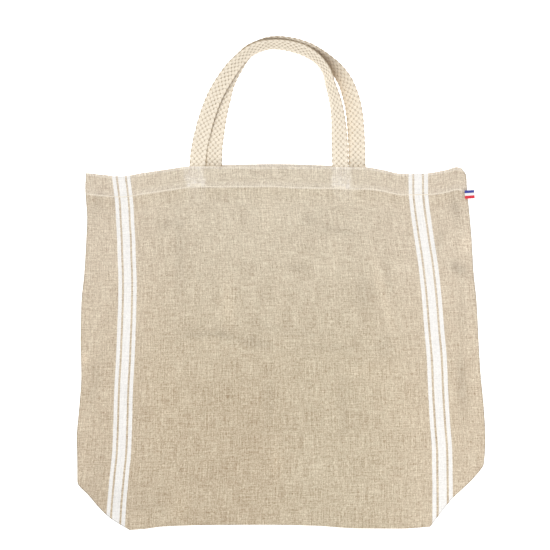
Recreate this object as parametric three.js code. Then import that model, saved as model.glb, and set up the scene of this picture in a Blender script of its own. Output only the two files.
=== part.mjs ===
// A beach tote of natural linen with two braided cotton handles, laid on its back on a flat surface.
//
// Millimetres. X runs across the bag, Y from the base to the mouth and the handles, Z up from the surface.
// The origin is on the surface, under the middle of the whole outline.
//
// The bag is one length of linen: the front and back panels, and a base that is folded inwards between them,
// so that the flat bag has two layers above the base fold, four below it, and corners cut off at 45 degrees.

import * as THREE from 'three';

const CLOTH = 1.5; // one layer of linen, with its fluff
const HEM_CLOTH = 2.3; // the same linen turned in along the mouth
const EDGE_ROUND = 1; // how far a folded edge stands out past its two layers
const EDGE_LIFT = 0.6; // how far a folded edge lies off the surface
const CLEAR = 0.4; // air between two pieces that lie against each other

// The side folds, as places on the outline from the mouth down to the base.
const LEFT_SIDE = [
  { y: 158, x: -265.7 }, { y: 138, x: -266.6 }, { y: 94, x: -264.1 }, { y: 61, x: -265.5 },
  { y: 18, x: -267.9 }, { y: -26, x: -272 }, { y: -80, x: -273.1 }, { y: -124, x: -272 },
  { y: -167, x: -274.7 }, { y: -210, x: -278.2 }, { y: -243, x: -277.4 }, { y: -269, x: -277 },
  { y: -286, x: -262.5 }, { y: -315, x: -234.5 }, { y: -332, x: -205 },
];
const RIGHT_SIDE = [
  { y: 158, x: 247 }, { y: 150, x: 252.3 }, { y: 138, x: 253 }, { y: 94, x: 257 },
  { y: 61, x: 259.8 }, { y: 18, x: 262.2 }, { y: -26, x: 266.6 }, { y: -80, x: 269.3 },
  { y: -124, x: 272 }, { y: -167, x: 276.1 }, { y: -210, x: 278.4 }, { y: -244, x: 276.2 },
  { y: -263, x: 263.3 }, { y: -293, x: 232.8 }, { y: -332, x: 202.5 },
];

// The mouth sags beside the handles, and the back panel's edge shows past the front's between them.
const MOUTH_Y = 158;
const MOUTH_FADE = 110;
const MOUTH = [
  { x: -266, front: 149.3, back: 149.3 }, { x: -243, front: 146.6, back: 146.6 },
  { x: -217, front: 144.6, back: 145 }, { x: -186, front: 149.1, back: 149.4 },
  { x: -148, front: 154.6, back: 155 }, { x: -122, front: 158, back: 158.6 },
  { x: -72, front: 157.8, back: 160.4 }, { x: -8, front: 157.4, back: 161.6 },
  { x: 60, front: 157.2, back: 159.8 }, { x: 114, front: 156.7, back: 157.2 },
  { x: 135, front: 153.5, back: 153.8 }, { x: 166, front: 147.6, back: 148 },
  { x: 199, front: 148.5, back: 149 }, { x: 228, front: 153.5, back: 154.2 },
  { x: 239, front: 156.5, back: 157.4 }, { x: 248, front: 154.4, back: 155.4 },
];

// The bottom edge bows up a little between the cut-off corners.
const BOTTOM_Y = -332;
const BOTTOM_FADE = 35;
const BOTTOM = [
  { x: -205, y: -335.5 }, { x: -186, y: -333.9 }, { x: -160, y: -330.6 }, { x: -100, y: -328.6 },
  { x: -20, y: -328.3 }, { x: 45, y: -329.5 }, { x: 104, y: -333.3 }, { x: 162, y: -333.5 },
  { x: 203, y: -331 },
];

// Sections across the bag, from the mouth down. crown is the height of the front panel along the middle, edge its
// height at the side folds, cloth the thickness of a layer, and lean how much higher the section lies on the right.
const ROWS = [
  { y: MOUTH_Y, lean: 0, cloth: HEM_CLOTH, edge: 5.2, crown: 14.2 },
  { y: 147, lean: 0, cloth: HEM_CLOTH, edge: 5.2, crown: 14.2 },
  { y: 134.5, lean: 0, cloth: HEM_CLOTH, edge: 5, crown: 14.2 },
  { y: 131, lean: 0, cloth: CLOTH, edge: 4.4, crown: 13.5 },
  { y: 105, lean: 0, cloth: CLOTH, edge: 4.2, crown: 13.4 },
  { y: 75, lean: 0, cloth: CLOTH, edge: 4.2, crown: 13.7 },
  { y: 45, lean: 0, cloth: CLOTH, edge: 4.2, crown: 14.1 },
  { y: 15, lean: 0, cloth: CLOTH, edge: 4.2, crown: 14.3 },
  { y: -15, lean: 0, cloth: CLOTH, edge: 4.2, crown: 14.3 },
  { y: -45, lean: 0, cloth: CLOTH, edge: 4.2, crown: 14.1 },
  { y: -65, lean: 0, cloth: CLOTH, edge: 4.2, crown: 13.9 },
  { y: -80, lean: 0, cloth: CLOTH, edge: 4.2, crown: 13.8 },
  { y: -95, lean: 0, cloth: CLOTH, edge: 4.2, crown: 13.8 },
  { y: -120, lean: 1, cloth: CLOTH, edge: 4.2, crown: 13.9 },
  { y: -150, lean: 2, cloth: CLOTH, edge: 4.2, crown: 13.9 },
  { y: -185, lean: 4, cloth: CLOTH, edge: 4.4, crown: 13.6 },
  { y: -215, lean: 7, cloth: CLOTH, edge: 5, crown: 13.3 },
  { y: -240, lean: 10.5, cloth: CLOTH, edge: 7.4, crown: 13.3 },
  { y: -254, lean: 12.5, cloth: CLOTH, edge: 9.6, crown: 13.6 },
  { y: -256.5, lean: 12.5, cloth: CLOTH, edge: 9.8, crown: 13.6 },
  { y: -275, lean: 9.3, cloth: CLOTH, edge: 10, crown: 13 },
  { y: -295, lean: 6, cloth: CLOTH, edge: 10, crown: 12.6 },
  { y: -313, lean: 3, cloth: CLOTH, edge: 10, crown: 12.2 },
  { y: -328.5, lean: 0.6, cloth: CLOTH, edge: 10, crown: 11.6 },
  { y: -331, lean: 0, cloth: CLOTH, edge: 9.6, crown: 10.8 },
];
const FOLD_TOP_ROW = 18; // the top of the base fold, as the inside of the bag meets it
const FOLD_CREASE_ROW = 19; // the same fold's own crease, one layer lower
const LAST_INSIDE_ROW = 23; // where the inside of the bag ends, one layer above the bottom edge
const BOTTOM_ROW = ROWS.length - 1;

// Places across the bag, as shares of its width: close together at the sides, where the panels come down to meet.
const COLUMNS = [
  0, 0.005, 0.02, 0.045, 0.08, 0.13, 0.19, 0.26, 0.34, 0.42, 0.5,
  0.58, 0.66, 0.74, 0.81, 0.87, 0.92, 0.955, 0.98, 0.995, 1,
];
const LAST_COLUMN = COLUMNS.length - 1;
const SIDE_RISE = 32; // how far in from a side fold the front panel rises most

// Soft folds of the front panel: the middle of each, its turn in degrees, its half length and half width, and its
// height, which is below nothing for a trough.
const FOLDS = [
  { x: -60, y: -76, turn: -6, along: 95, across: 17, height: -1.7 },
  { x: 70, y: -84, turn: -3, along: 80, across: 20, height: -1.3 },
  { x: -130, y: 18, turn: 86, along: 62, across: 14, height: -0.9 },
  { x: 112, y: 4, turn: 80, along: 50, across: 16, height: -0.9 },
  { x: -20, y: 30, turn: 4, along: 55, across: 16, height: -0.8 },
  { x: -90, y: -190, turn: 70, along: 70, across: 24, height: -0.9 },
  { x: 90, y: -165, turn: 100, along: 60, across: 22, height: -0.7 },
  { x: 236, y: 50, turn: 20, along: 26, across: 9, height: -1.1 },
  { x: 248, y: 33, turn: 12, along: 22, across: 8, height: 0.9 },
  { x: 244, y: -150, turn: 84, along: 36, across: 12, height: -1 },
];

// The handles are flat braids. Each row is a place on the centre line, from the left end inside the mouth, over the
// arch, to the right end. tilt is how far the outer edge stands up, in degrees, and lift how far the braid lies off
// the surface. The front handle lies over the back one on the left leg.
const BRAID_WIDTH = 22;
const BRAID_THICK = 2.6;
const BRAID_CORNER = 0.8;
const BRAID_STEPS = 56;
const BRAID_REST = 0.1; // the least air under a braid
const FRONT_END_LIFT = ROWS[0].crown - HEM_CLOTH - CLEAR - BRAID_THICK - BRAID_REST;
const BACK_END_LIFT = HEM_CLOTH + CLEAR - BRAID_REST;
const FRONT_HANDLE = [
  { x: -112.5, y: 131, tilt: 0, lift: FRONT_END_LIFT }, { x: -113.5, y: 158, tilt: 0, lift: FRONT_END_LIFT },
  { x: -111.5, y: 180, tilt: 3, lift: 8.1 }, { x: -107, y: 203, tilt: 7, lift: 7 },
  { x: -98, y: 234, tilt: 11, lift: 5.9 }, { x: -88.5, y: 257, tilt: 16, lift: 5.6 },
  { x: -79, y: 273.5, tilt: 22, lift: 6.3 }, { x: -66, y: 292.3, tilt: 34, lift: 7.1 },
  { x: -52.6, y: 307, tilt: 47, lift: 7.2 }, { x: -42.2, y: 315.6, tilt: 53, lift: 6 },
  { x: -28.3, y: 322.6, tilt: 57, lift: 4 }, { x: -13.2, y: 325, tilt: 59, lift: 2.1 },
  { x: 3.8, y: 324.6, tilt: 57, lift: 0.9 }, { x: 27.6, y: 318.6, tilt: 53, lift: 0.4 },
  { x: 46.2, y: 307.9, tilt: 57, lift: 0.3 }, { x: 56.4, y: 297.6, tilt: 60, lift: 0.3 },
  { x: 64, y: 286, tilt: 63, lift: 0.3 }, { x: 68.8, y: 272.3, tilt: 62, lift: 0.3 },
  { x: 73, y: 254, tilt: 57, lift: 0.4 }, { x: 76.2, y: 238.5, tilt: 52, lift: 1 },
  { x: 78.4, y: 221, tilt: 42, lift: 2.5 }, { x: 79.7, y: 203, tilt: 30, lift: 4.5 },
  { x: 80.8, y: 180, tilt: 10, lift: 7.4 }, { x: 81.6, y: 158, tilt: 0, lift: FRONT_END_LIFT },
  { x: 82, y: 131, tilt: 0, lift: FRONT_END_LIFT },
];
const BACK_HANDLE = [
  { x: -91.9, y: 131, tilt: 0, lift: BACK_END_LIFT }, { x: -91.9, y: 162, tilt: 0, lift: BACK_END_LIFT },
  { x: -91.4, y: 187, tilt: 1, lift: 0.8 }, { x: -89.2, y: 206, tilt: 2, lift: 0 },
  { x: -85.1, y: 231, tilt: 4, lift: 0 }, { x: -79.7, y: 250, tilt: 8, lift: 0 },
  { x: -74.5, y: 265, tilt: 12, lift: 0 }, { x: -68, y: 277, tilt: 17, lift: 0 },
  { x: -59.6, y: 291.6, tilt: 27, lift: 0 }, { x: -51, y: 305, tilt: 39, lift: 0 },
  { x: -42, y: 316.4, tilt: 49, lift: 0 }, { x: -30, y: 324.2, tilt: 55, lift: 0 },
  { x: -19.2, y: 327.4, tilt: 57, lift: 0 }, { x: -6.9, y: 328.7, tilt: 58, lift: 0 },
  { x: 11.6, y: 327.8, tilt: 57, lift: 0 }, { x: 28.2, y: 323.4, tilt: 55, lift: 0 },
  { x: 42.4, y: 316.6, tilt: 53, lift: 0 }, { x: 61.9, y: 301.8, tilt: 50, lift: 0 },
  { x: 76, y: 289.6, tilt: 48, lift: 0 }, { x: 88, y: 273.9, tilt: 46, lift: 0 },
  { x: 93.6, y: 260.4, tilt: 41, lift: 0 }, { x: 98.9, y: 242.8, tilt: 32, lift: 0 },
  { x: 101.5, y: 226, tilt: 24, lift: 0 }, { x: 103.2, y: 200.5, tilt: 14, lift: 0 },
  { x: 103.8, y: 182, tilt: 5, lift: 0.8 }, { x: 103.9, y: 160, tilt: 0, lift: BACK_END_LIFT },
  { x: 103.9, y: 131, tilt: 0, lift: BACK_END_LIFT },
];

// The ribbon is folded double, with its fold at the free end, and its two ends are caught in the right side seam.
const RIBBON_WIDTH = 11.3;
const RIBBON_LAYER = 0.5;
const RIBBON_GAP = 0.4;
const RIBBON_Y = 120.5;
const RIBBON_TURN = 4;
const RIBBON_LINE = [
  { x: 250.4, z: 6.6 }, { x: 254.5, z: 5.9 }, { x: 259, z: 5.3 }, { x: 263, z: 4.5 },
];

// Reads a column of a table between its rows, on a curve that never swings past a row.
function read(table, at, by, column) {
  const rows = table[0][by] < table[table.length - 1][by] ? table : [...table].reverse();
  const place = Math.min(Math.max(at, rows[0][by]), rows[rows.length - 1][by]);
  const slope = (i) => (rows[i + 1][column] - rows[i][column]) / (rows[i + 1][by] - rows[i][by]);
  const tangent = (i) => {
    if (i === 0 || i === rows.length - 1) return slope(Math.min(i, rows.length - 2));
    const before = slope(i - 1);
    const after = slope(i);
    return before * after <= 0 ? 0 : (2 * before * after) / (before + after);
  };
  let i = 0;
  while (i < rows.length - 2 && place > rows[i + 1][by]) i += 1;
  const step = rows[i + 1][by] - rows[i][by];
  const t = (place - rows[i][by]) / step;
  const turn = t * t * (3 - 2 * t);
  const out = t * (1 - t) * (1 - t) * tangent(i) - t * t * (1 - t) * tangent(i + 1);
  return rows[i][column] * (1 - turn) + rows[i + 1][column] * turn + out * step;
}

// Height that the soft folds add to the front panel at a place.
function foldHeight(x, y) {
  let height = 0;
  for (const fold of FOLDS) {
    const turn = THREE.MathUtils.degToRad(fold.turn);
    const along = ((x - fold.x) * Math.cos(turn) + (y - fold.y) * Math.sin(turn)) / fold.along;
    const across = ((y - fold.y) * Math.cos(turn) - (x - fold.x) * Math.sin(turn)) / fold.across;
    height += fold.height * Math.exp(-along * along - across * across);
  }
  return height;
}

// A place on the flat bag: a section, a share of its width, and the panel whose mouth edge counts.
function placeOn(row, share, panel) {
  const left = read(LEFT_SIDE, row.y - row.lean, 'y', 'x') + EDGE_ROUND;
  const right = read(RIGHT_SIDE, row.y + row.lean, 'y', 'x') - EDGE_ROUND;
  const x = THREE.MathUtils.lerp(left, right, share);
  const mouth = (read(MOUTH, x, 'x', panel) - MOUTH_Y) * Math.exp((row.y - MOUTH_Y) / MOUTH_FADE);
  const bottom = (read(BOTTOM, x, 'x', 'y') - BOTTOM_Y) * Math.exp((BOTTOM_Y - row.y) / BOTTOM_FADE);
  const y = row.y + row.lean * (2 * share - 1) + mouth + bottom;
  const inward = Math.min(x - left, right - x);
  const risen = 1 - Math.exp(-inward / SIDE_RISE);
  return { x, y, top: row.edge + (row.crown - row.edge) * risen + foldHeight(x, y) * risen };
}

// The heights of the eight surfaces of the four layers, from the front panel's outside down to the back panel's.
function layerHeights(top, cloth, rim) {
  const air = top - 4 * cloth;
  const back = cloth + 0.3 * air;
  return {
    frontOut: top,
    frontIn: top - cloth,
    foldFrontIn: back + 2 * cloth + 0.4 * air,
    foldFrontOut: back + cloth + 0.4 * air,
    foldBackOut: back + cloth,
    foldBackIn: back,
    backIn: cloth,
    backOut: rim ? EDGE_LIFT : 0,
  };
}

// A closed skin that is put together from vertices, sheets of them and strips between two lines of them.
class Skin {
  constructor() {
    this.places = [];
    this.faces = [];
  }

  vertex(x, y, z) {
    this.places.push(x, y, z);
    return this.places.length / 3 - 1;
  }

  face(a, b, c) {
    if (a !== b && b !== c && c !== a) this.faces.push(a, b, c);
  }

  // Lines of equal length, one below the other.
  sheet(lines, facesUp) {
    for (let j = 0; j < lines.length - 1; j += 1) this.strip(lines[j], lines[j + 1], facesUp);
  }

  // Two lines that may differ in length, joined from their first vertices to their last.
  strip(upper, lower, facesUp = true) {
    let i = 0;
    let j = 0;
    while (i < upper.length - 1 || j < lower.length - 1) {
      const stepUpper = (i + 1) * (lower.length - 1) <= (j + 1) * (upper.length - 1);
      const next = stepUpper ? upper[i + 1] : lower[j + 1];
      if (facesUp) this.face(upper[i], lower[j], next);
      else this.face(upper[i], next, lower[j]);
      if (stepUpper) i += 1;
      else j += 1;
    }
  }

  geometry() {
    const geometry = new THREE.BufferGeometry();
    geometry.setAttribute('position', new THREE.Float32BufferAttribute(this.places, 3));
    geometry.setIndex(this.faces);
    geometry.computeVertexNormals();
    return geometry;
  }
}

// The bag itself: the outside skin, the inside skin and the rim of the mouth that joins them.
function bodyGeometry() {
  const skin = new Skin();

  // One surface of one layer, as a list of lines across the bag, each a list of vertices.
  const surface = (name, firstRow, lastRow, inset) => {
    const panel = name.startsWith('back') ? 'back' : 'front';
    const lines = [];
    for (let j = firstRow; j <= lastRow; j += 1) {
      lines[j] = [];
      for (let i = inset; i <= LAST_COLUMN - inset; i += 1) {
        const at = placeOn(ROWS[j], COLUMNS[i], panel);
        const rim = i === 0 || i === LAST_COLUMN || j === BOTTOM_ROW;
        lines[j][i] = skin.vertex(at.x, at.y, layerHeights(at.top, ROWS[j].cloth, rim)[name]);
      }
    }
    return lines;
  };
  const rowsOf = (lines, first, last) => lines.slice(first, last + 1).map((line) => line.filter(Number.isInteger));
  const row = (lines, j) => lines[j].filter(Number.isInteger);

  const frontOut = surface('frontOut', 0, BOTTOM_ROW, 0);
  const backOut = surface('backOut', 0, BOTTOM_ROW, 0);
  const foldFrontOut = surface('foldFrontOut', FOLD_CREASE_ROW, BOTTOM_ROW, 0);
  const foldBackOut = surface('foldBackOut', FOLD_CREASE_ROW, BOTTOM_ROW, 0);
  const frontIn = surface('frontIn', 0, LAST_INSIDE_ROW, 1);
  const backIn = surface('backIn', 0, LAST_INSIDE_ROW, 1);
  const foldFrontIn = surface('foldFrontIn', FOLD_TOP_ROW, LAST_INSIDE_ROW, 1);
  const foldBackIn = surface('foldBackIn', FOLD_TOP_ROW, LAST_INSIDE_ROW, 1);

  skin.sheet(rowsOf(frontOut, 0, BOTTOM_ROW), true);
  skin.sheet(rowsOf(backOut, 0, BOTTOM_ROW), false);
  skin.sheet(rowsOf(foldFrontOut, FOLD_CREASE_ROW, BOTTOM_ROW), false);
  skin.sheet(rowsOf(foldBackOut, FOLD_CREASE_ROW, BOTTOM_ROW), true);
  skin.sheet(rowsOf(frontIn, 0, LAST_INSIDE_ROW), false);
  skin.sheet(rowsOf(backIn, 0, LAST_INSIDE_ROW), true);
  skin.sheet(rowsOf(foldFrontIn, FOLD_TOP_ROW, LAST_INSIDE_ROW), true);
  skin.sheet(rowsOf(foldBackIn, FOLD_TOP_ROW, LAST_INSIDE_ROW), false);

  // A vertex halfway between two others, moved out in the plane of the bag.
  const bulge = (a, b, outX, outY) => {
    const mid = (k) => (skin.places[3 * a + k] + skin.places[3 * b + k]) / 2;
    return skin.vertex(mid(0) + outX * EDGE_ROUND, mid(1) + outY * EDGE_ROUND, mid(2));
  };

  // The rim of the mouth, along each panel and round the ends of the side folds.
  const rimOf = (lines) => row(lines, 0).slice(1, -1);
  skin.strip(row(frontIn, 0), rimOf(frontOut));
  skin.strip(rimOf(backOut), row(backIn, 0));

  for (const [i, inner, side] of [[0, 1, -1], [LAST_COLUMN, LAST_COLUMN - 1, 1]]) {
    // The side fold, closed from the front panel to the back one, ends at the mouth and at the base fold's crease.
    const closed = [];
    for (let j = 0; j < FOLD_CREASE_ROW; j += 1) {
      closed.push([frontOut[j][i], bulge(frontOut[j][i], backOut[j][i], side, 0), backOut[j][i]]);
    }
    closed.push([frontOut, foldFrontOut, foldBackOut, backOut].map((lines) => lines[FOLD_CREASE_ROW][i]));
    skin.sheet(closed, side > 0);
    skin.strip([frontOut, frontIn, backIn, backOut].map((lines) => lines[0][inner]), closed[0], side > 0);

    // The inside of the side fold, which parts into two below the top of the base fold.
    const inside = [];
    for (let j = 0; j < FOLD_TOP_ROW; j += 1) inside.push([frontIn[j][inner], backIn[j][inner]]);
    inside.push([frontIn, foldFrontIn, foldBackIn, backIn].map((lines) => lines[FOLD_TOP_ROW][inner]));
    skin.sheet(inside, side < 0);
  }

  // The base fold's top, outside in the crease and inside in the bag.
  skin.strip(row(foldFrontOut, FOLD_CREASE_ROW), row(foldBackOut, FOLD_CREASE_ROW), true);
  skin.strip(row(foldFrontIn, FOLD_TOP_ROW), row(foldBackIn, FOLD_TOP_ROW), false);

  // The folds along the cut-off corners and the bottom edge, one under the front panel and one over the back one.
  const around = (lines, first, last, inset) => [
    ...lines.slice(first, last).map((line) => line[inset]),
    ...lines[last].slice(inset, LAST_COLUMN - inset + 1),
    ...lines.slice(first, last).map((line) => line[LAST_COLUMN - inset]).reverse(),
  ];
  const outwards = around(frontOut, FOLD_CREASE_ROW, BOTTOM_ROW, 0).map((_, k, all) => {
    const onLeft = k <= BOTTOM_ROW - FOLD_CREASE_ROW;
    const onRight = k >= all.length - 1 - (BOTTOM_ROW - FOLD_CREASE_ROW);
    return onLeft ? [-Math.SQRT1_2, -Math.SQRT1_2] : onRight ? [Math.SQRT1_2, -Math.SQRT1_2] : [0, -1];
  });
  for (const [upper, lower] of [[frontOut, foldFrontOut], [foldBackOut, backOut]]) {
    const above = around(upper, FOLD_CREASE_ROW, BOTTOM_ROW, 0);
    const below = around(lower, FOLD_CREASE_ROW, BOTTOM_ROW, 0);
    const middle = above.map((a, k) => {
      const isEnd = k === 0 || k === above.length - 1;
      return isEnd ? a : bulge(a, below[k], ...outwards[k]);
    });
    skin.strip(above, middle, true);
    skin.strip(middle, below, true);
  }
  for (const [upper, lower] of [[frontIn, foldFrontIn], [foldBackIn, backIn]]) {
    const above = around(upper, FOLD_TOP_ROW, LAST_INSIDE_ROW, 1);
    const below = around(lower, FOLD_TOP_ROW, LAST_INSIDE_ROW, 1);
    skin.strip(above, below, false);
  }
  return skin.geometry();
}

// A handle: a flat section with cut corners, carried along the centre line and tilted as it goes.
function handleGeometry(table) {
  const skin = new Skin();
  const line = new THREE.CatmullRomCurve3(table.map((r) => new THREE.Vector3(r.x, r.y, 0)));
  const poise = new THREE.CatmullRomCurve3(table.map((r) => new THREE.Vector3(r.tilt, r.lift, 0)));
  const wide = BRAID_WIDTH / 2;
  const thick = BRAID_THICK / 2;
  const section = [
    [-wide, -thick + BRAID_CORNER], [-wide + BRAID_CORNER, -thick], [wide - BRAID_CORNER, -thick],
    [wide, -thick + BRAID_CORNER], [wide, thick - BRAID_CORNER], [wide - BRAID_CORNER, thick],
    [-wide + BRAID_CORNER, thick], [-wide, thick - BRAID_CORNER],
  ];
  const rings = [];
  for (let step = 0; step <= BRAID_STEPS; step += 1) {
    const centre = line.getPointAt(step / BRAID_STEPS);
    const tangent = line.getTangentAt(step / BRAID_STEPS);
    const { x: degrees, y: lift } = poise.getPoint(line.getUtoTmapping(step / BRAID_STEPS));
    const tilt = THREE.MathUtils.degToRad(degrees);
    const outward = new THREE.Vector3(-tangent.y, tangent.x, 0);
    const height = wide * Math.sin(Math.abs(tilt)) + thick * Math.cos(tilt) + BRAID_REST + lift;
    rings.push(section.map(([w, n]) => {
      const out = w * Math.cos(tilt) - n * Math.sin(tilt);
      const up = w * Math.sin(tilt) + n * Math.cos(tilt);
      return skin.vertex(centre.x + outward.x * out, centre.y + outward.y * out, height + up);
    }));
  }
  skin.sheet(rings.map((ring) => [...ring, ring[0]]), false);
  for (const [ring, isFirst] of [[rings[0], true], [rings[rings.length - 1], false]]) {
    skin.strip(ring.slice(0, 4), ring.slice(4).reverse(), isFirst);
  }
  return skin.geometry();
}

// The ribbon: its two layers and the fold between them as one outline, drawn out to the ribbon's width.
function ribbonGeometry() {
  const half = RIBBON_GAP / 2 + RIBBON_LAYER;
  const tip = RIBBON_LINE[RIBBON_LINE.length - 1];
  const shape = new THREE.Shape();
  RIBBON_LINE.forEach((p, i) => (i ? shape.lineTo(p.x, p.z + half) : shape.moveTo(p.x, p.z + half)));
  shape.lineTo(tip.x + half, tip.z);
  [...RIBBON_LINE].reverse().forEach((p) => shape.lineTo(p.x, p.z - half));
  RIBBON_LINE.forEach((p) => shape.lineTo(p.x, p.z - RIBBON_GAP / 2));
  [...RIBBON_LINE].reverse().forEach((p) => shape.lineTo(p.x, p.z + RIBBON_GAP / 2));
  const geometry = new THREE.ExtrudeGeometry(shape, { depth: RIBBON_WIDTH, bevelEnabled: false });
  geometry.rotateX(Math.PI / 2);
  geometry.translate(-RIBBON_LINE[0].x, RIBBON_WIDTH / 2, 0);
  geometry.rotateZ(THREE.MathUtils.degToRad(RIBBON_TURN));
  geometry.translate(RIBBON_LINE[0].x, RIBBON_Y, 0);
  return geometry;
}

const LINEN = { color: 0xcbb695, roughness: 0.92, metalness: 0 };
const COTTON = { color: 0xeadcc0, roughness: 0.9, metalness: 0 };
const RIBBON = { color: 0xf4f2f4, roughness: 0.7, metalness: 0 };

const tote = new THREE.Group();
tote.name = 'beach_tote';
for (const [name, geometry, finish] of [
  ['body', bodyGeometry(), LINEN],
  ['handle_front', handleGeometry(FRONT_HANDLE), COTTON],
  ['handle_back', handleGeometry(BACK_HANDLE), COTTON],
  ['side_ribbon', ribbonGeometry(), RIBBON],
]) {
  const piece = new THREE.Mesh(geometry, new THREE.MeshStandardMaterial(finish));
  piece.name = name;
  tote.add(piece);
}

export default tote;
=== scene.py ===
# %% [markdown]
# # A linen beach tote, laid flat on its back
# The real bag is one length of natural linen with white woven stripes. It is hemmed at the mouth, sewn up
# at the sides, boxed at the corners and pressed flat with its base folded inwards. Two braided cotton
# handles are sewn inside the mouth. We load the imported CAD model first: it is the frame that every piece
# here fits into.

import math

import bpy
import numpy as np
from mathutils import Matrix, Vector, noise


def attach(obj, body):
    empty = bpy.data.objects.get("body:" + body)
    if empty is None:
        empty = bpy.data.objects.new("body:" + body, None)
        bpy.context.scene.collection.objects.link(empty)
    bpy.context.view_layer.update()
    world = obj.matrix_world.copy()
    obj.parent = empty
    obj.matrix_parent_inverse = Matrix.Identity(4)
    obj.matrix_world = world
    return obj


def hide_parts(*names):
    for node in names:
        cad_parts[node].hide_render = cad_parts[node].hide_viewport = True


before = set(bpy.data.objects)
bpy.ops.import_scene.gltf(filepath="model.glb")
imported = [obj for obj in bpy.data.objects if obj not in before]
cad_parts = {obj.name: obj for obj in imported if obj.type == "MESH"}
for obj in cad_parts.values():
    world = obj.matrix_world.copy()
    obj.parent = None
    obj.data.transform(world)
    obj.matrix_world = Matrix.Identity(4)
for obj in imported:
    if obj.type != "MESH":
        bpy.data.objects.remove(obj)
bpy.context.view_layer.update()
bpy.ops.object.select_all(action="DESELECT")
MM = 0.001
print("CAD pieces:", len(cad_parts))

# %% [markdown]
# ## The camera
# The photograph looks straight down on the bag. One pixel of it is 1.36 mm, which is how the bag was
# measured, so the camera hangs above the middle of the picture, and its lens is worked out from how much it
# has to see. A far camera with a long lens keeps the low relief of the cloth from shifting about.

# %% Hang the camera
PHOTO_PIXELS = 550
MM_PER_PIXEL = 1.36
ORIGIN_PIXEL = (281.0, 283.2)
CAMERA_HEIGHT = 3.2
FOCUS_HEIGHT = 0.010
SENSOR_MM = 36.0
FAR_CLIP = 50

middle_x = (PHOTO_PIXELS / 2 - ORIGIN_PIXEL[0]) * MM_PER_PIXEL
middle_y = (ORIGIN_PIXEL[1] - PHOTO_PIXELS / 2) * MM_PER_PIXEL
half_view = PHOTO_PIXELS * MM_PER_PIXEL * MM / 2
bpy.ops.object.camera_add(location=(middle_x * MM, middle_y * MM, CAMERA_HEIGHT), rotation=(0, 0, 0))
camera = bpy.context.object
camera.name = "camera"
camera.data.sensor_width = SENSOR_MM
camera.data.lens = SENSOR_MM / 2 * (CAMERA_HEIGHT - FOCUS_HEIGHT) / half_view
camera.data.clip_end = FAR_CLIP
bpy.context.scene.camera = camera
print("lens in mm:", round(camera.data.lens, 1))

# %% [markdown]
# ## Small helpers for materials
# A material is a tree of nodes, and what runs along its wires is a number, a place or a colour. We wrap
# each wire in a small class, here called a flow. Arithmetic on a flow adds Math nodes to its tree, so a
# formula below reads as it would on paper.

# %% Flows between nodes


class Flow:
    """What runs out of a socket of a node. Arithmetic on it adds Math nodes to its tree."""

    def __init__(self, socket):
        self.socket = socket
        self.tree = socket.id_data

    def __add__(self, other):
        return calculate("ADD", self, other)

    def __radd__(self, other):
        return calculate("ADD", other, self)

    def __sub__(self, other):
        return calculate("SUBTRACT", self, other)

    def __rsub__(self, other):
        return calculate("SUBTRACT", other, self)

    def __mul__(self, other):
        return calculate("MULTIPLY", self, other)

    def __truediv__(self, other):
        return calculate("DIVIDE", self, other)

    def __abs__(self):
        return calculate("ABSOLUTE", self)


def calculate(operation, a, b=0.0):
    """One Math node, for two numbers of which at least one is a flow."""
    tree = a.tree if isinstance(a, Flow) else b.tree
    return add_node(tree, "Math", {0: a, 1: b}, operation=operation)


def feed(socket, value):
    """Wires a flow to an input, or sets the input to a value."""
    if isinstance(value, Flow):
        value.tree.links.new(value.socket, socket)
    else:
        socket.default_value = value


def add_node(tree, kind, inputs, output=0, **settings):
    """Adds a node with its settings, feeds its inputs by name or number, and gives one output as a flow."""
    node = tree.nodes.new("ShaderNode" + kind)
    for name, value in settings.items():
        setattr(node, name, value)
    for key, value in inputs.items():
        feed(node.inputs[key], value)
    return Flow(node.outputs[output])


print("flows can be added, subtracted, multiplied and divided")

# %% [markdown]
# Most looks of cloth are made of three patterns: a smooth step, a wave and noise. Blender counts in metres
# and our tables are in millimetres, so these helpers take millimetres.

# %% Patterns
NOISE_DETAIL = 2.0
NOISE_ROUGHNESS = 0.55


def ramp(value, low, high, out_low=0.0, out_high=1.0):
    """A smooth step, from out_low where value is low to out_high where it is high."""
    inputs = {"Value": value, 1: low, 2: high, 3: out_low, 4: out_high}
    return add_node(value.tree, "MapRange", inputs, interpolation_type="SMOOTHSTEP")


def ramp_mm(length, low, high, out_low=0.0, out_high=1.0):
    """The same for a length, with low and high in millimetres."""
    return ramp(length, low * MM, high * MM, out_low, out_high)


def sine_wave(length, period):
    """A sine wave that repeats every so many millimetres."""
    return calculate("SINE", length * (2 * math.pi / (period * MM)))


def blotches(across, along, width, length, seed):
    """Noise whose spots are width by length in millimetres."""
    axes = {0: across / (width * MM), 1: along / (length * MM), 2: seed}
    place = add_node(across.tree, "CombineXYZ", axes)
    inputs = {"Vector": place, "Scale": 1.0, "Detail": NOISE_DETAIL, "Roughness": NOISE_ROUGHNESS}
    return add_node(across.tree, "TexNoise", inputs, noise_dimensions="3D")


print("noise detail:", NOISE_DETAIL)

# %% [markdown]
# The last helpers make a material, handle its colours, and read what a piece knows of itself: its UV map,
# which we call "cloth" on every piece, and the marks that we write on its points.

# %% Materials and colours


def new_material(name, roughness, specular, sheen):
    """An empty cloth material and its shader. Its constants sit on the shader's own sockets."""
    material = bpy.data.materials.new(name)
    material.use_nodes = True
    shader = material.node_tree.nodes["Principled BSDF"]
    shader.inputs["Roughness"].default_value = roughness
    shader.inputs["Specular IOR Level"].default_value = specular
    shader.inputs["Sheen Weight"].default_value = sheen
    return material, shader


def cloth_places(material):
    """The two coordinates of a piece's own UV map, in metres."""
    place = add_node(material.node_tree, "UVMap", {}, uv_map="cloth")
    return [add_node(material.node_tree, "SeparateXYZ", {0: place}, output) for output in (0, 1)]


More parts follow.
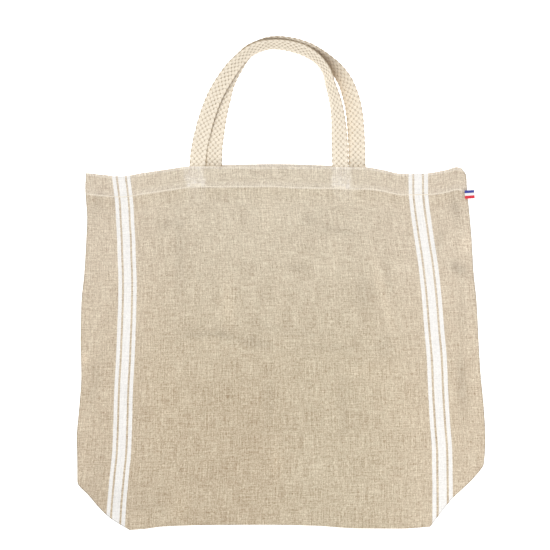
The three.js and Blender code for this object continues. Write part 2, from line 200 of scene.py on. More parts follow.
def mark(material, name):
    """A number that was written on the points of a piece."""
    return add_node(material.node_tree, "Attribute", {}, "Fac", attribute_name=name)


def tint(color, factor):
    """A colour made lighter or darker by a factor around 1."""
    return add_node(factor.tree, "VectorMath", {0: color, "Scale": factor}, operation="SCALE")


def blend(share, first, second):
    """A mix of two colours, all first at 0 and all second at 1."""
    ends = [color if isinstance(color, Flow) else (*color, 1.0) for color in (first, second)]
    return add_node(share.tree, "Mix", {0: share, 6: ends[0], 7: ends[1]}, 2, data_type="RGBA")


def add_relief(shader, strength, depth, height):
    """A fine relief on the shader, depth in millimetres."""
    inputs = {"Strength": strength, "Distance": depth * MM, "Height": height}
    feed(shader.inputs["Normal"], add_node(height.tree, "Bump", inputs))


print("every cloth material reads a UV map in metres")

# %% [markdown]
# ## Floor and light
# The photograph is a product shot on pure white. We lay the bag on a pale table that glows a little, as a
# lit white table does, so that the ground stays white right up to the cloth.

# %% Lay the floor
FLOOR_SIZE = 12.0
FLOOR_DROP = 0.0003
FLOOR_WHITE = (0.9, 0.9, 0.9, 1)
FLOOR_GLOW = 0.75

bpy.ops.mesh.primitive_plane_add(size=FLOOR_SIZE, location=(0, 0, -FLOOR_DROP))
floor = bpy.context.object
floor.name = "floor"
table_top, shader = new_material("white_table", roughness=0.8, specular=0.25, sheen=0.0)
shader.inputs["Base Color"].default_value = FLOOR_WHITE
shader.inputs["Emission Color"].default_value = (1, 1, 1, 1)
shader.inputs["Emission Strength"].default_value = FLOOR_GLOW
floor.data.materials.append(table_top)
print("floor laid", FLOOR_DROP / MM, "mm under the bag")

# %% [markdown]
# The room is an even white. One big soft lamp at the upper left shades the creases and lets the front
# handle throw a soft shadow on the back one. A weaker lamp at the lower right lights the inner faces of the
# handles.

# %% Light the room
ROOM_STRENGTH = 0.68
LAMPS = [
    {"name": "key", "place": (-1.0, 1.9, 2.6), "size": 1.8, "watts": 50},
    {"name": "fill", "place": (1.1, -0.9, 0.8), "size": 0.8, "watts": 7},
]

world = bpy.data.worlds.new("room")
world.use_nodes = True
world.node_tree.nodes["Background"].inputs["Color"].default_value = (1, 1, 1, 1)
world.node_tree.nodes["Background"].inputs["Strength"].default_value = ROOM_STRENGTH
bpy.context.scene.world = world
bpy.context.scene.view_settings.view_transform = "Standard"

for row in LAMPS:
    bpy.ops.object.light_add(type="AREA", location=row["place"])
    lamp = bpy.context.object
    lamp.name = row["name"]
    lamp.data.size = row["size"]
    lamp.data.energy = row["watts"]
    lamp.rotation_euler = (-Vector(row["place"])).to_track_quat("-Z", "Y").to_euler()
print("room", ROOM_STRENGTH, "and lamps:", len(LAMPS))

# %% [markdown]
# ## The measured outline
# The bag's outline was measured on the photograph, and the CAD model holds it as short tables. We repeat
# them here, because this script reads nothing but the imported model. Each table has named columns, in
# millimetres.

# %% Tables of the outline
LEFT_SIDE = {
    "y": [158, 138, 94, 61, 18, -26, -80, -124, -167, -210, -243, -269, -286, -315, -332],
    "x": [-265.7, -266.6, -264.1, -265.5, -267.9, -272, -273.1, -272, -274.7, -278.2, -277.4, -277, -262.5,
          -234.5, -205],
}
RIGHT_SIDE = {
    "y": [158, 150, 138, 94, 61, 18, -26, -80, -124, -167, -210, -244, -263, -293, -332],
    "x": [247, 252.3, 253, 257, 259.8, 262.2, 266.6, 269.3, 272, 276.1, 278.4, 276.2, 263.3, 232.8, 202.5],
}
MOUTH_Y = 158
MOUTH = {
    "x": [-266, -243, -217, -186, -148, -122, -72, -8, 60, 114, 135, 166, 199, 228, 239, 248],
    "front": [149.3, 146.6, 144.6, 149.1, 154.6, 158, 157.8, 157.4, 157.2, 156.7, 153.5, 147.6, 148.5,
              153.5, 156.5, 154.4],
    "back": [149.3, 146.6, 145, 149.4, 155, 158.6, 160.4, 161.6, 159.8, 157.2, 153.8, 148, 149, 154.2,
             157.4, 155.4],
}
BOTTOM_Y = -332
BOTTOM = {
    "x": [-205, -186, -160, -100, -20, 45, 104, 162, 203],
    "y": [-335.5, -333.9, -330.6, -328.6, -328.3, -329.5, -333.3, -333.5, -331],
}
SECTIONS = {
    "y": [158, 134.5, 131, 105, 75, 45, 15, -15, -45, -80, -95, -120, -150, -185, -215, -240, -254, -256.5,
          -275, -295, -313, -328.5, -331],
    "lean": [0, 0, 0, 0, 0, 0, 0, 0, 0, 0, 0, 1, 2, 4, 7, 10.5, 12.5, 12.5, 9.3, 6, 3, 0.6, 0],
    "edge": [5.2, 5, 4.4, 4.2, 4.2, 4.2, 4.2, 4.2, 4.2, 4.2, 4.2, 4.2, 4.2, 4.4, 5, 7.4, 9.6, 9.8, 10, 10,
             10, 10, 9.6],
    "crown": [14.2, 14.2, 13.5, 13.4, 13.7, 14.1, 14.3, 14.3, 14.1, 13.8, 13.8, 13.9, 13.9, 13.6, 13.3,
              13.3, 13.6, 13.6, 13, 12.6, 12.2, 11.6, 10.8],
}
CREASE_Y = -256.5
LAST_Y = -331
print("outline rows:", len(LEFT_SIDE["y"]), "left,", len(RIGHT_SIDE["y"]), "right")

# %% [markdown]
# A curve through a few measured places must not swing past them, or the edge of the cloth would ripple
# where the real one is straight. The helper below reads a table with such a curve.

# %% Read a table along a smooth curve


def read(table, at, by, column):
    """Reads a column of a table between its rows, on a curve that never swings past a row."""
    places = np.array(table[by], float)
    values = np.array(table[column], float)
    if places[0] > places[-1]:
        places = places[::-1]
        values = values[::-1]
    at = np.clip(np.asarray(at, float), places[0], places[-1])
    steps = np.diff(places)
    slopes = np.diff(values) / steps
    before = slopes[:-1]
    after = slopes[1:]
    same_way = before * after > 0
    mean = np.zeros_like(before)
    mean[same_way] = 2 * before[same_way] * after[same_way] / (before + after)[same_way]
    tangents = np.concatenate([slopes[:1], mean, slopes[-1:]])
    i = np.clip(np.searchsorted(places, at, side="right") - 1, 0, len(steps) - 1)
    t = (at - places[i]) / steps[i]
    turn = t * t * (3 - 2 * t)
    swing = t * (1 - t) ** 2 * tangents[i] - t * t * (1 - t) * tangents[i + 1]
    return values[i] * (1 - turn) + values[i + 1] * turn + swing * steps[i]


def side_x(side, y):
    """Where a side edge is, at a height up the bag."""
    return float(read(side, y, "y", "x"))


print("the bag is", round(side_x(RIGHT_SIDE, 0) - side_x(LEFT_SIDE, 0), 1), "mm wide at the middle")

# %% [markdown]
# ## Soft folds in the front panel
# Linen never lies quite flat. The large folds below are those of the CAD model. To them we add the small
# dents and rolls that the photograph shows, and a faint unevenness everywhere. Each fold is a long soft
# hill or trough: its middle, its turn in degrees, its half length and half width, and its height. The thin
# ones across the middle are where the bag was once folded up and pressed.

# %% Tables of the folds


def named_rows(columns, rows):
    """Rows of bare values as rows whose values are named."""
    names = columns.split()
    return [dict(zip(names, row)) for row in rows]


FOLDS = named_rows("x y turn along across height", [
    (-60, -76, -6, 95, 17, -1.7), (70, -84, -3, 80, 20, -1.3), (-130, 18, 86, 62, 14, -0.9),
    (112, 4, 80, 50, 16, -0.9), (-20, 30, 4, 55, 16, -0.8), (-90, -190, 70, 70, 24, -0.9),
    (90, -165, 100, 60, 22, -0.7), (236, 50, 20, 26, 9, -1.1), (248, 33, 12, 22, 8, 0.9),
    (244, -150, 84, 36, 12, -1),
])
SMALL_FOLDS = named_rows("x y turn along across height", [
    (137, -12, 104, 50, 5, 2.8), (146, 8, 100, 24, 5, -2.0), (141, -86, 70, 16, 11, -1.9),
    (111, -14, 90, 24, 8, -1.9), (39, 86, 20, 12, 7, -2.2), (76, 71, -10, 26, 6, -2.1),
    (70, 36, 90, 34, 6, 1.2), (114, -121, 0, 26, 9, 1.4), (84, -169, 90, 42, 6, -1.4),
    (155, -200, 90, 60, 5, -0.4), (-18, -163, 90, 38, 7, -1.4), (-8, -244, 90, 22, 6, 2.8),
    (-2, -25, 90, 70, 5, 0.7), (-73, -30, 92, 34, 8, 3.0), (-138, 36, 90, 52, 6, -2.0),
    (-152, 78, 15, 16, 7, -2.0), (-20, 98, 90, 32, 8, 1.3), (-140, -308, 90, 22, 14, 2.0),
    (-196, -300, -8, 70, 18, -0.9), (-180, -26, 90, 30, 14, 0.8), (-160, -172, 90, 62, 26, 0.8),
    (-20, -58, 10, 28, 14, -0.9), (166, -166, 104, 68, 30, 0.8), (110, 112, -4, 44, 12, 0.9),
    (-112, 122, 0, 20, 6, 0.9), (-112, -71, 3, 30, 5, -2.4), (-77, -72, -24, 12, 6, -2.9),
    (-38, -83, -10, 22, 7, -2.8), (30, -69, -2, 36, 5, -1.2), (62, -88, 0, 46, 5, -1.5),
    (-25, 22, 0, 32, 5, -0.6), (22, 21, 0, 12, 6, -1.6), (216, 58, 80, 18, 6, -2.5),
    (237, 103, 100, 18, 7, -3.6), (254, 53, 60, 12, 9, 3.2), (241, 20, -35, 14, 8, -4.8),
    (245, -40, 95, 30, 7, -1.6), (246, -138, 93, 42, 8, -3.0), (-253, -136, 82, 34, 8, -1.7),
    (-268, -104, 80, 10, 5, 4.0), (-250, 108, 80, 22, 8, -1.9), (-250, -258, 75, 40, 12, -1.2),
])
UNEVEN = named_rows("size height seed", [(90, 0.55, 3.1), (38, 0.28, 8.7), (16, 0.10, 5.2)])


def fold_height(x, y, folds):
    """Height that a list of soft folds adds to the front panel."""
    height = np.zeros_like(x)
    for fold in folds:
        turn = math.radians(fold["turn"])
        dx = x - fold["x"]
        dy = y - fold["y"]
        along = (dx * math.cos(turn) + dy * math.sin(turn)) / fold["along"]
        across = (dy * math.cos(turn) - dx * math.sin(turn)) / fold["across"]
        height += fold["height"] * np.exp(-along ** 2 - across ** 2)
    return height


def unevenness(x, y):
    """A faint random relief, the same on every run."""
    height = np.zeros_like(x)
    for wave in UNEVEN:
        places = np.stack([x / wave["size"], y / wave["size"], np.full_like(x, wave["seed"])], axis=-1)
        height += wave["height"] * np.array([noise.noise(Vector(place)) for place in places])
    return height


print("folds placed by hand:", len(FOLDS) + len(SMALL_FOLDS))

# %% [markdown]
# ## Where a point of the bag lies
# Any point of the flat bag is found by its section, which is a height up the bag, and its share of the way
# across. The mouth sags beside the handles and the bottom edge bows. The hem keeps the whole bend of the
# mouth, and below it both bends fade out along the bag, as the weft threads of the real cloth do. The panel
# rises from its side edges to its crown, and the folds lie on top of that.

# %% Places on the bag
EDGE_ROUND = 1.0
HEM_DEPTH = 26.5
MOUTH_FADE = 110
BOTTOM_FADE = 35
SIDE_RISE = 32


def section(row_y, column):
    """A value of the table of sections, at a height up the bag."""
    return float(read(SECTIONS, row_y, "y", column))


def place_on(row_y, share, panel):
    """For shares of one section: x, y, the height of the front panel, and the way in from the edges."""
    lean = section(row_y, "lean")
    left = side_x(LEFT_SIDE, row_y - lean) + EDGE_ROUND
    right = side_x(RIGHT_SIDE, row_y + lean) - EDGE_ROUND
    x = left + (right - left) * share
    held = math.exp(min(row_y - MOUTH_Y + HEM_DEPTH, 0) / MOUTH_FADE)
    mouth = (read(MOUTH, x, "x", panel) - MOUTH_Y) * held
    bottom = (read(BOTTOM, x, "x", "y") - BOTTOM_Y) * math.exp((BOTTOM_Y - row_y) / BOTTOM_FADE)
    y = row_y + lean * (2 * share - 1) + mouth + bottom
    inward = np.minimum(x - left, right - x)
    risen = 1 - np.exp(-inward / SIDE_RISE)
    edge = section(row_y, "edge")
    relief = fold_height(x, y, FOLDS + SMALL_FOLDS) + unevenness(x, y)
    return x, y, edge + (section(row_y, "crown") - edge) * risen + relief * risen, inward


x, y, top, inward = place_on(0, np.array([0.5]), "front")
print("the middle of the bag stands", round(float(top[0]), 1), "mm high")

# %% [markdown]
# At the base four layers of cloth lie over each other: the front panel, the two halves of the folded base
# and the back panel. They share the height under the front panel, with some air between them. The linen is
# thinner here than in the CAD model, whose layers are thick so that they stay apart as solids.

# %% Heights of the layers
CAD_CLOTH = 1.5
LINEN = 0.9
AIR_UNDER_FOLD = 0.3
AIR_IN_FOLD = 0.4
EDGE_LIFT = 0.6
EDGE_LIFT_FADE = 5


def layer_heights(top, inward):
    """Heights of the middles of the four layers, from the front panel down to the back one."""
    air = top - 4 * CAD_CLOTH
    fold_bottom = CAD_CLOTH + AIR_UNDER_FOLD * air
    return {
        "front": top - LINEN / 2,
        "fold_front": fold_bottom + 1.5 * CAD_CLOTH + AIR_IN_FOLD * air,
        "fold_back": fold_bottom + 0.5 * CAD_CLOTH,
        "back": LINEN / 2 + EDGE_LIFT * np.exp(-inward / EDGE_LIFT_FADE),
    }


print("layers:", {name: round(float(height[0]), 1) for name, height in layer_heights(top, inward).items()})

# %% [markdown]
# ## The cloth's own coordinates
# A woven stripe follows the threads of the cloth, not the room. So every point gets a place on the flat
# length of linen, before it was sewn: how far it is across the cloth, and how far along it from the crease
# in the base. The two bands of stripes were measured on the photograph, and they bend a little with the
# bag.

# %% Coordinates on the flat cloth
BANDS = {
    "y": [158, 140, 123, 106, 85, 58, 31, 4, -24, -64, -105, -146, -187, -228, -262, -282, -302, -332],
    "left": [-218, -216.3, -214.2, -212.5, -211.5, -210, -209.2, -208.3, -208.6, -209.9, -211.6, -213.9,
             -215.1, -216.6, -220, -221.9, -223.7, -225.5],
    "right": [186, 186.1, 186.3, 187.8, 190.6, 194.5, 198.8, 202.1, 205, 208.2, 211.8, 213.5, 215.9, 219,
              219.5, 219.9, 220, 220],
}
BAND_AT = 214.5
HALF_BASE = CREASE_Y - LAST_Y
HALF_LENGTH = MOUTH_Y - LAST_Y + HALF_BASE


def across_cloth(x, y):
    """How far a point is across the flat cloth, from its middle."""
    left = read(BANDS, y, "y", "left")
    right = read(BANDS, y, "y", "right")
    between = -BAND_AT + 2 * BAND_AT * (x - left) / (right - left)
    return np.where(x < left, x - left - BAND_AT, np.where(x > right, x - right + BAND_AT, between))


def along_cloth(row_y, layer):
    """How far a section is along the flat cloth, from the crease in the base."""
    if layer.startswith("fold"):
        down = CREASE_Y - row_y
    else:
        down = HALF_BASE + row_y - LAST_Y
    return down if layer.endswith("front") else -down


print("the cloth is", round(2 * HALF_LENGTH), "mm long between the folds of the mouth")

# %% [markdown]
# The row of stitches that holds the hem doesn't run quite parallel to the mouth. Its rise and fall was
# measured too, and every point of the cloth is told how far it is above the row.

# %% The line of the stitches
STITCH_LINE = {
    "x": [-266, -200, -150, -110, -60, -10, 20, 60, 100, 143, 185, 224, 248],
    "rise": [-1.8, -1.6, -1.6, -1.2, -0.6, 0.0, -1.8, -2.4, -3.2, -1.6, -1.8, -3.2, -2.4],
}
STITCH_ROW_Y = MOUTH_Y - HEM_DEPTH + 0.6


def above_stitches(x, row_y):
    """How far a point is above the row of stitches, measured along the panel."""
    return row_y - STITCH_ROW_Y - read(STITCH_LINE, x, "x", "rise")


print("the stitches run", round(MOUTH_Y - STITCH_ROW_Y, 1), "mm or more below the mouth")

# %% [markdown]
# ## The body: one length of linen
# The body is a single skin, as the real cloth is. We build it as rings of points. Above the crease of the
# base fold a ring runs across the front panel, round the right side seam, back across the back panel and
# round the left seam. Below the crease there are two rings, one round each half of the folded base. A grid
# in code is the best way here, because every line of it can follow the measured tables.

# %% Collect points and faces
ACROSS = 128
SIDE_THINNING = 0.72

steps = np.linspace(0, 1, ACROSS + 1)
SHARES = steps - SIDE_THINNING * np.sin(2 * math.pi * steps) / (2 * math.pi)


class Cloth:
    """Points of a skin, each with its place on the flat cloth, and the faces between lines of them."""

    def __init__(self):
        self.points = []
        self.flat = []
        self.tucked = []
        self.inward = []
        self.above = []
        self.faces = []
        self.is_tuck = []

    def line(self, xs, ys, zs, across, along, inward, tucked=None):
        """Adds a line of points, inward from the side edges, and returns their numbers."""
        first = len(self.points)
        count = len(xs)
        flat = list(zip(across, np.broadcast_to(along, count)))
        row_y = MOUTH_Y - HALF_LENGTH + np.abs(np.broadcast_to(along, count))
        self.points += list(zip(xs, ys, np.broadcast_to(zs, count)))
        self.flat += flat
        self.tucked += flat if tucked is None else tucked
        self.inward += list(inward)
        self.above += list(above_stitches(xs, row_y))
        return list(range(first, first + count))

    def strip(self, upper, lower, is_tuck=False):
        """Faces between two lines of the same length."""
        for i in range(len(upper) - 1):
            self.faces.append((upper[i], lower[i], lower[i + 1], upper[i + 1]))
            self.is_tuck.append(is_tuck[i] if np.ndim(is_tuck) else is_tuck)


cloth = Cloth()
print("points across a panel:", len(SHARES))

# %% [markdown]
# ### The base folded inwards
# The corners of the bag are boxed: each was sewn across, so a pressed bag has its corners cut off at a
# slant. The little triangles of cloth behind the slant are the panel's own corner, turned under. On the
# flat cloth they lie mirrored in the slant, so their threads and stripes turn with them.

# %% Mirror a tucked corner
CORNERS = {
    "left": {"low": (-205, -332), "high": (-277, -269)},
    "right": {"low": (202.5, -332), "high": (276.2, -244)},
}


def mirrored(x, y, corner):
    """Mirrors points in the slanted fold of a corner."""
    low = np.array(CORNERS[corner]["low"], float)
    way = np.array(CORNERS[corner]["high"], float) - low
    way /= np.linalg.norm(way)
    out = np.stack([x, y], axis=-1) - low
    flipped = 2 * np.outer(out @ way, way) - out + low
    return flipped[:, 0], flipped[:, 1]


def tucked_places(x, y, layer):
    """Where the points of a base fold lie on the flat cloth if they belong to a turned-under corner."""
    left_x, left_y = mirrored(x, y, "left")
    right_x, right_y = mirrored(x, y, "right")
    flip_x = np.where(x < 0, left_x, right_x)
    flip_y = np.where(x < 0, left_y, right_y)
    panel = layer.replace("fold_", "")
    along = [along_cloth(value, panel) for value in flip_y]
    return list(zip(across_cloth(flip_x, flip_y), along))


print("corner slants end at", CORNERS["left"]["high"], "and", CORNERS["right"]["high"])

# %% [markdown]
# ### Rows of the two panels and of the base fold
# Each row is a line of points across one layer. The rows lie closest where the cloth bends most: at the
# hem, at the crease and at the bottom edge. So each stretch of the bag gets its own number of rows.

# %% Lay the rows
STRETCHES = named_rows("top rows", [
    (MOUTH_Y, 3), (154, 6), (134.5, 3), (130.5, 76), (-250, 3), (CREASE_Y, 3), (-262, 13), (-322, 5),
    (LAST_Y, 1),
])

ROWS = []
for stretch, after in zip(STRETCHES, STRETCHES[1:]):
    ROWS += list(np.linspace(stretch["top"], after["top"], stretch["rows"], endpoint=False))
ROWS.append(LAST_Y)
CREASE = ROWS.index(CREASE_Y)
LAST = len(ROWS) - 1


def layer_row(j, layer):
    """Adds one row of one layer to the cloth."""
    panel = "back" if layer.endswith("back") else "front"
    x, y, top, inward = place_on(ROWS[j], SHARES, panel)
    heights = layer_heights(top, inward)
    if layer == "crease":
        z = (heights["fold_front"] + heights["fold_back"]) / 2
        return cloth.line(x, y, z, across_cloth(x, y), 0, inward, tucked_places(x, y, "fold_front"))
    tucked = tucked_places(x, y, layer) if layer.startswith("fold") else None
    return cloth.line(x, y, heights[layer], across_cloth(x, y), along_cloth(ROWS[j], layer), inward, tucked)


front = [layer_row(j, "front") for j in range(LAST + 1)]
back = [layer_row(j, "back") for j in range(LAST + 1)]
crease = layer_row(CREASE, "crease")
fold_front = {j: layer_row(j, "fold_front") for j in range(CREASE + 1, LAST + 1)}
fold_back = {j: layer_row(j, "fold_back") for j in range(CREASE + 1, LAST + 1)}
fold_front[CREASE] = crease
fold_back[CREASE] = crease
print("rows:", LAST + 1, "of which", LAST - CREASE, "lie below the crease")

# %% [markdown]
# ### Folded edges
# Along a folded edge the cloth turns round through half a circle. Beside the mouth the edge is a side seam:
# the two panels meet there edge to edge, so the middle of the turn is drawn in as a fine groove. It deepens
# towards the crease, where the seam runs in under the panel.

# %% Turn the edges
TURN_STEPS = 4
SEAM_GROOVE = 0.55
GROOVE_HALF_TURN = 0.45
GROOVE_FADE = 12


def turned(upper, lower, out, steps, groove=0.0):
    """Points round a folded edge, from an upper point to a lower one, without these two."""
    a = np.array(cloth.points[upper], float)
    b = np.array(cloth.points[lower], float)
    angles = math.pi * np.arange(1, steps) / steps
    reach = EDGE_ROUND * np.sin(angles)
    reach -= groove * np.exp(-((angles - math.pi / 2) / GROOVE_HALF_TURN) ** 2)
    middle = (a + b) / 2
    xs = middle[0] + out[0] * reach
    ys = middle[1] + out[1] * reach
    zs = middle[2] + (a - b)[2] / 2 * np.cos(angles)
    flat_a = np.array(cloth.flat[upper])
    flat_b = np.array(cloth.flat[lower])
    share = (np.arange(1, steps) > steps / 2).astype(float)
    across = flat_a[0] * (1 - share) + flat_b[0] * share + np.sign(out[0]) * reach
    along = flat_a[1] * (1 - share) + flat_b[1] * share
    return cloth.line(xs, ys, zs, across, along, -reach)


def side_turn(j, end):
    """The whole turn of a side seam, from the front panel to the back one."""
    sign = -1 if end == 0 else 1
    near = math.exp((CREASE_Y - ROWS[j]) / GROOVE_FADE)
    groove = SEAM_GROOVE + (EDGE_ROUND - SEAM_GROOVE) * near
    return turned(front[j][end], back[j][end], (sign, 0), 2 * TURN_STEPS, groove)


left_turn = [side_turn(j, 0) for j in range(CREASE + 1)]
right_turn = [side_turn(j, ACROSS) for j in range(CREASE + 1)]
print("points round a side seam:", len(left_turn[0]) + 2)

# %% [markdown]
# At the crease the turn of the seam parts into two, one round each half of the folded base. The end of the
# crease is the middle point of the turn, so we put it there and give the halves their own turns below it.

# %% Part the turns at the crease
SLANT = math.sqrt(0.5)


def corner_turn(j, end, upper, lower):
    """The turn along a slanted corner, round one half of the base."""
    sign = -1 if end == 0 else 1
    return turned(upper[j][end], lower[j][end], (sign * SLANT, -SLANT), TURN_STEPS)


def closed(first, turn_right, second, turn_left):
    """One closed ring: across, round, back and round."""
    return first + turn_right + second[::-1] + turn_left[::-1] + first[:1]


left_turn[CREASE][TURN_STEPS - 1] = crease[0]
right_turn[CREASE][TURN_STEPS - 1] = crease[ACROSS]
upper_turns = [side[CREASE][:TURN_STEPS - 1] for side in (right_turn, left_turn)]
lower_turns = [side[CREASE][TURN_STEPS:] for side in (right_turn, left_turn)]
front_ring = {CREASE: [front[CREASE], upper_turns[0], crease, upper_turns[1]]}
back_ring = {CREASE: [crease, lower_turns[0], back[CREASE], lower_turns[1]]}
for j in range(CREASE + 1, LAST + 1):
    front_turns = [corner_turn(j, end, front, fold_front) for end in (ACROSS, 0)]
    back_turns = [corner_turn(j, end, fold_back, back) for end in (ACROSS, 0)]
    front_ring[j] = [front[j], front_turns[0], fold_front[j], front_turns[1]]
    back_ring[j] = [fold_back[j], back_turns[0], back[j], back_turns[1]]

rings = [closed(front[j], right_turn[j], back[j], left_turn[j]) for j in range(CREASE + 1)]
print("points in a ring:", len(rings[0]) - 1)

# %% [markdown]
# ### The hem
# The hem is the same cloth, turned in at the mouth. We carry the rings on: up round a tight fold, and down
# again inside, one thickness further in. The inner layer reaches a little past the line of stitches. First
# we need, for each point of a ring, the way to the inside of the bag.

# %% Ways to the inside of the bag
SPAN = len(SHARES)
TURN_POINTS = 2 * TURN_STEPS - 1

angles = math.pi * np.arange(1, 2 * TURN_STEPS) / (2 * TURN_STEPS)
inward_right = [(-math.sin(a), 0, -math.cos(a)) for a in angles]
inward_left = [(math.sin(a), 0, -math.cos(a)) for a in angles]
INWARD_WAYS = np.array([(0, 0, -1)] * SPAN + inward_right + [(0, 0, 1)] * SPAN + inward_left[::-1])
print("points across a panel and round a seam:", SPAN, "and", TURN_POINTS)

# %% [markdown]
# A ring of the hem takes its panels from the tables, at its own depth below the mouth. The turns of its
# side seams are those of the mouth, shifted along, so that the hem keeps the form of the seams all the way
# down.

# %% Turn the hem in
HEM_GAP = 0.22
HEM_TAIL = 2.5
HEM_SPACING = LINEN + HEM_GAP
HEM_ROWS = [0, 1, 3, 6, 10, 15, 21, HEM_DEPTH + HEM_TAIL]
FOLD_ANGLES = [45, 90, 135]
mouth_ring = rings[0][:-1]


def hem_ring(depth, inset, rise=0.0):
    """A ring of the hem, depth below the mouth, inset from the outer layer."""
    mouth = np.array([cloth.points[i] for i in mouth_ring])
    ring = mouth.copy()
    back_start = SPAN + TURN_POINTS
    for panel, start, way in (("front", 0, 1), ("back", back_start, -1)):
        x, y, top, inward = place_on(MOUTH_Y - depth, SHARES, panel)
        ring[start:start + SPAN] = np.stack((x, y, layer_heights(top, inward)[panel]), axis=-1)[::way]
    for start, after in ((SPAN, back_start), (back_start + SPAN, 0)):
        shift = (ring[start - 1] + ring[after]) / 2 - (mouth[start - 1] + mouth[after]) / 2
        ring[start:start + TURN_POINTS] = mouth[start:start + TURN_POINTS] + shift
    ring += INWARD_WAYS * inset
    ring[:, 1] += rise
    beyond = depth + (HEM_SPACING * math.pi / 4 if depth else rise)
    across = [cloth.flat[i][0] for i in mouth_ring]
    along = [cloth.flat[i][1] + math.copysign(beyond, cloth.flat[i][1]) for i in mouth_ring]
    numbers = cloth.line(*ring.T, across, along, [cloth.inward[i] for i in mouth_ring])
    return numbers + numbers[:1]


hem = [hem_ring(depth, HEM_SPACING) for depth in reversed(HEM_ROWS)]
for degrees in reversed(FOLD_ANGLES):
    angle = math.radians(degrees)
    radius = HEM_SPACING / 2
    hem.append(hem_ring(0, radius * (1 - math.cos(angle)), radius * math.sin(angle)))
print("rings in the hem:", len(hem))

# %% [markdown]
# ### Join the rings
# The faces between neighbouring rings make the whole skin, with the bottom edges closed last. The faces of
# the turned-under corners are noted, because their threads run another way.

# %% Make the skin
mouth_and_panels = hem + rings
for upper, lower in zip(mouth_and_panels, mouth_and_panels[1:]):
    cloth.strip(upper, lower)

crease_x = np.array([cloth.points[i][0] for i in crease])
face_x = (crease_x[:-1] + crease_x[1:]) / 2
tuck = (face_x < CORNERS["left"]["low"][0]) | (face_x > CORNERS["right"]["low"][0])
plain = np.zeros(ACROSS, bool)
turn_faces = np.zeros(TURN_STEPS, bool)
front_flags = np.concatenate([plain, turn_faces, tuck[::-1], turn_faces])
back_flags = np.concatenate([tuck, turn_faces, plain, turn_faces])
for j in range(CREASE, LAST):
    cloth.strip(closed(*front_ring[j]), closed(*front_ring[j + 1]), front_flags)
    cloth.strip(closed(*back_ring[j]), closed(*back_ring[j + 1]), back_flags)


def close_bottom(ring):
    """Turns the bottom edge of one half of the base."""
    upper, turn_right, lower, turn_left = ring
    inner = [turned(upper[i], lower[i], (0, -1), TURN_STEPS) for i in range(1, ACROSS)]
    columns = [turn_left] + inner + [turn_right]
    lines = [upper] + [[column[k] for column in columns] for k in range(TURN_STEPS - 1)] + [lower]
    for one, other in zip(lines, lines[1:]):
        cloth.strip(one, other)


close_bottom(front_ring[LAST])
close_bottom(back_ring[LAST])
print("skin:", len(cloth.points), "points,", len(cloth.faces), "faces")

# %% [markdown]
# ### From points to an object
# Every piece of cloth or braid here becomes an object in the same way: its mesh in metres, a UV map that
# holds the places on the flat cloth, and marks, which are numbers on its points that the materials read. A
# skin then gets its thickness from a Solidify modifier, half to each side, and the modifier is applied.

# %% Make a mesh object


def make_object(name, points, faces, flat=None, marks=None):
    """A mesh object from points in millimetres, with a UV map in metres and marks on its points."""
    mesh = bpy.data.meshes.new(name)
    mesh.from_pydata((np.array(points, float) * MM).tolist(), [], faces)
    if flat is not None:
        layer = mesh.uv_layers.new(name="cloth")
        layer.data.foreach_set("uv", (np.array(flat, float) * MM).ravel())
    for name_of_mark, values in (marks or {}).items():
        attribute = mesh.attributes.new(name=name_of_mark, type="FLOAT", domain="POINT")
        attribute.data.foreach_set("value", values)
    mesh.update()
    made = bpy.data.objects.new(name, mesh)
    bpy.context.collection.objects.link(made)
    return made


def finish_mesh(piece, thickness=0.0, smooth_angle=40.0):
    """Gives a skin its thickness in millimetres, if any, and smooth shading."""
    bpy.ops.object.select_all(action="DESELECT")
    piece.select_set(True)
    bpy.context.view_layer.objects.active = piece
    if thickness:
        solidify = piece.modifiers.new("thickness", "SOLIDIFY")
        solidify.thickness = thickness * MM
        solidify.offset = 0
        bpy.ops.object.modifier_apply(modifier=solidify.name)
    bpy.ops.object.shade_smooth_by_angle(angle=math.radians(smooth_angle))
    piece.select_set(False)
    return piece


corner_places = []
for face, is_tuck in zip(cloth.faces, cloth.is_tuck):
    corner_places += [(cloth.tucked if is_tuck else cloth.flat)[i] for i in face]
places = np.array(cloth.points, float)
on_front = np.array(cloth.flat)[:, 1] > HALF_BASE
# The hollow mark is the depth of the small folds. Together with the inward mark, it sets painted shade in
# the linen's colour.
hollow = np.where(on_front, -fold_height(places[:, 0], places[:, 1], SMALL_FOLDS), 0)
marks = {"inward": np.array(cloth.inward) * MM, "above": np.array(cloth.above) * MM, "hollow": hollow * MM}
body = finish_mesh(make_object("tote_body", cloth.points, cloth.faces, corner_places, marks), LINEN)
print("body triangles:", sum(len(face.vertices) - 2 for face in body.data.polygons))

# %% [markdown]
# ## A flat braid of seven strands
# Each handle is a flat cotton braid. Seven strands zigzag from edge to edge, and each goes over and under
# the strands that it meets, one by one. We work out one strand on a straight braid: how far across it is
# and how high, for any place along it. The crossings lie in columns, and the strand turns round softly at
# both edges.

# %% The path of a strand
STRANDS = 7
BRAID_WIDTH = 22.0
BRAID_THICK = 2.6
BRAID_REST = 0.1
COLUMN = 3.41
ROW = 3.8
TURN_REACH = 1.8
STRAND_HALF_WIDE = 2.3
STRAND_HALF_THICK = 0.70
CROSS_HEIGHT = 0.60
GOING_OUT = [0, 1, -1, 1, -1, 1, -1]
CROSSINGS = np.array(GOING_OUT + GOING_OUT + [0], float)


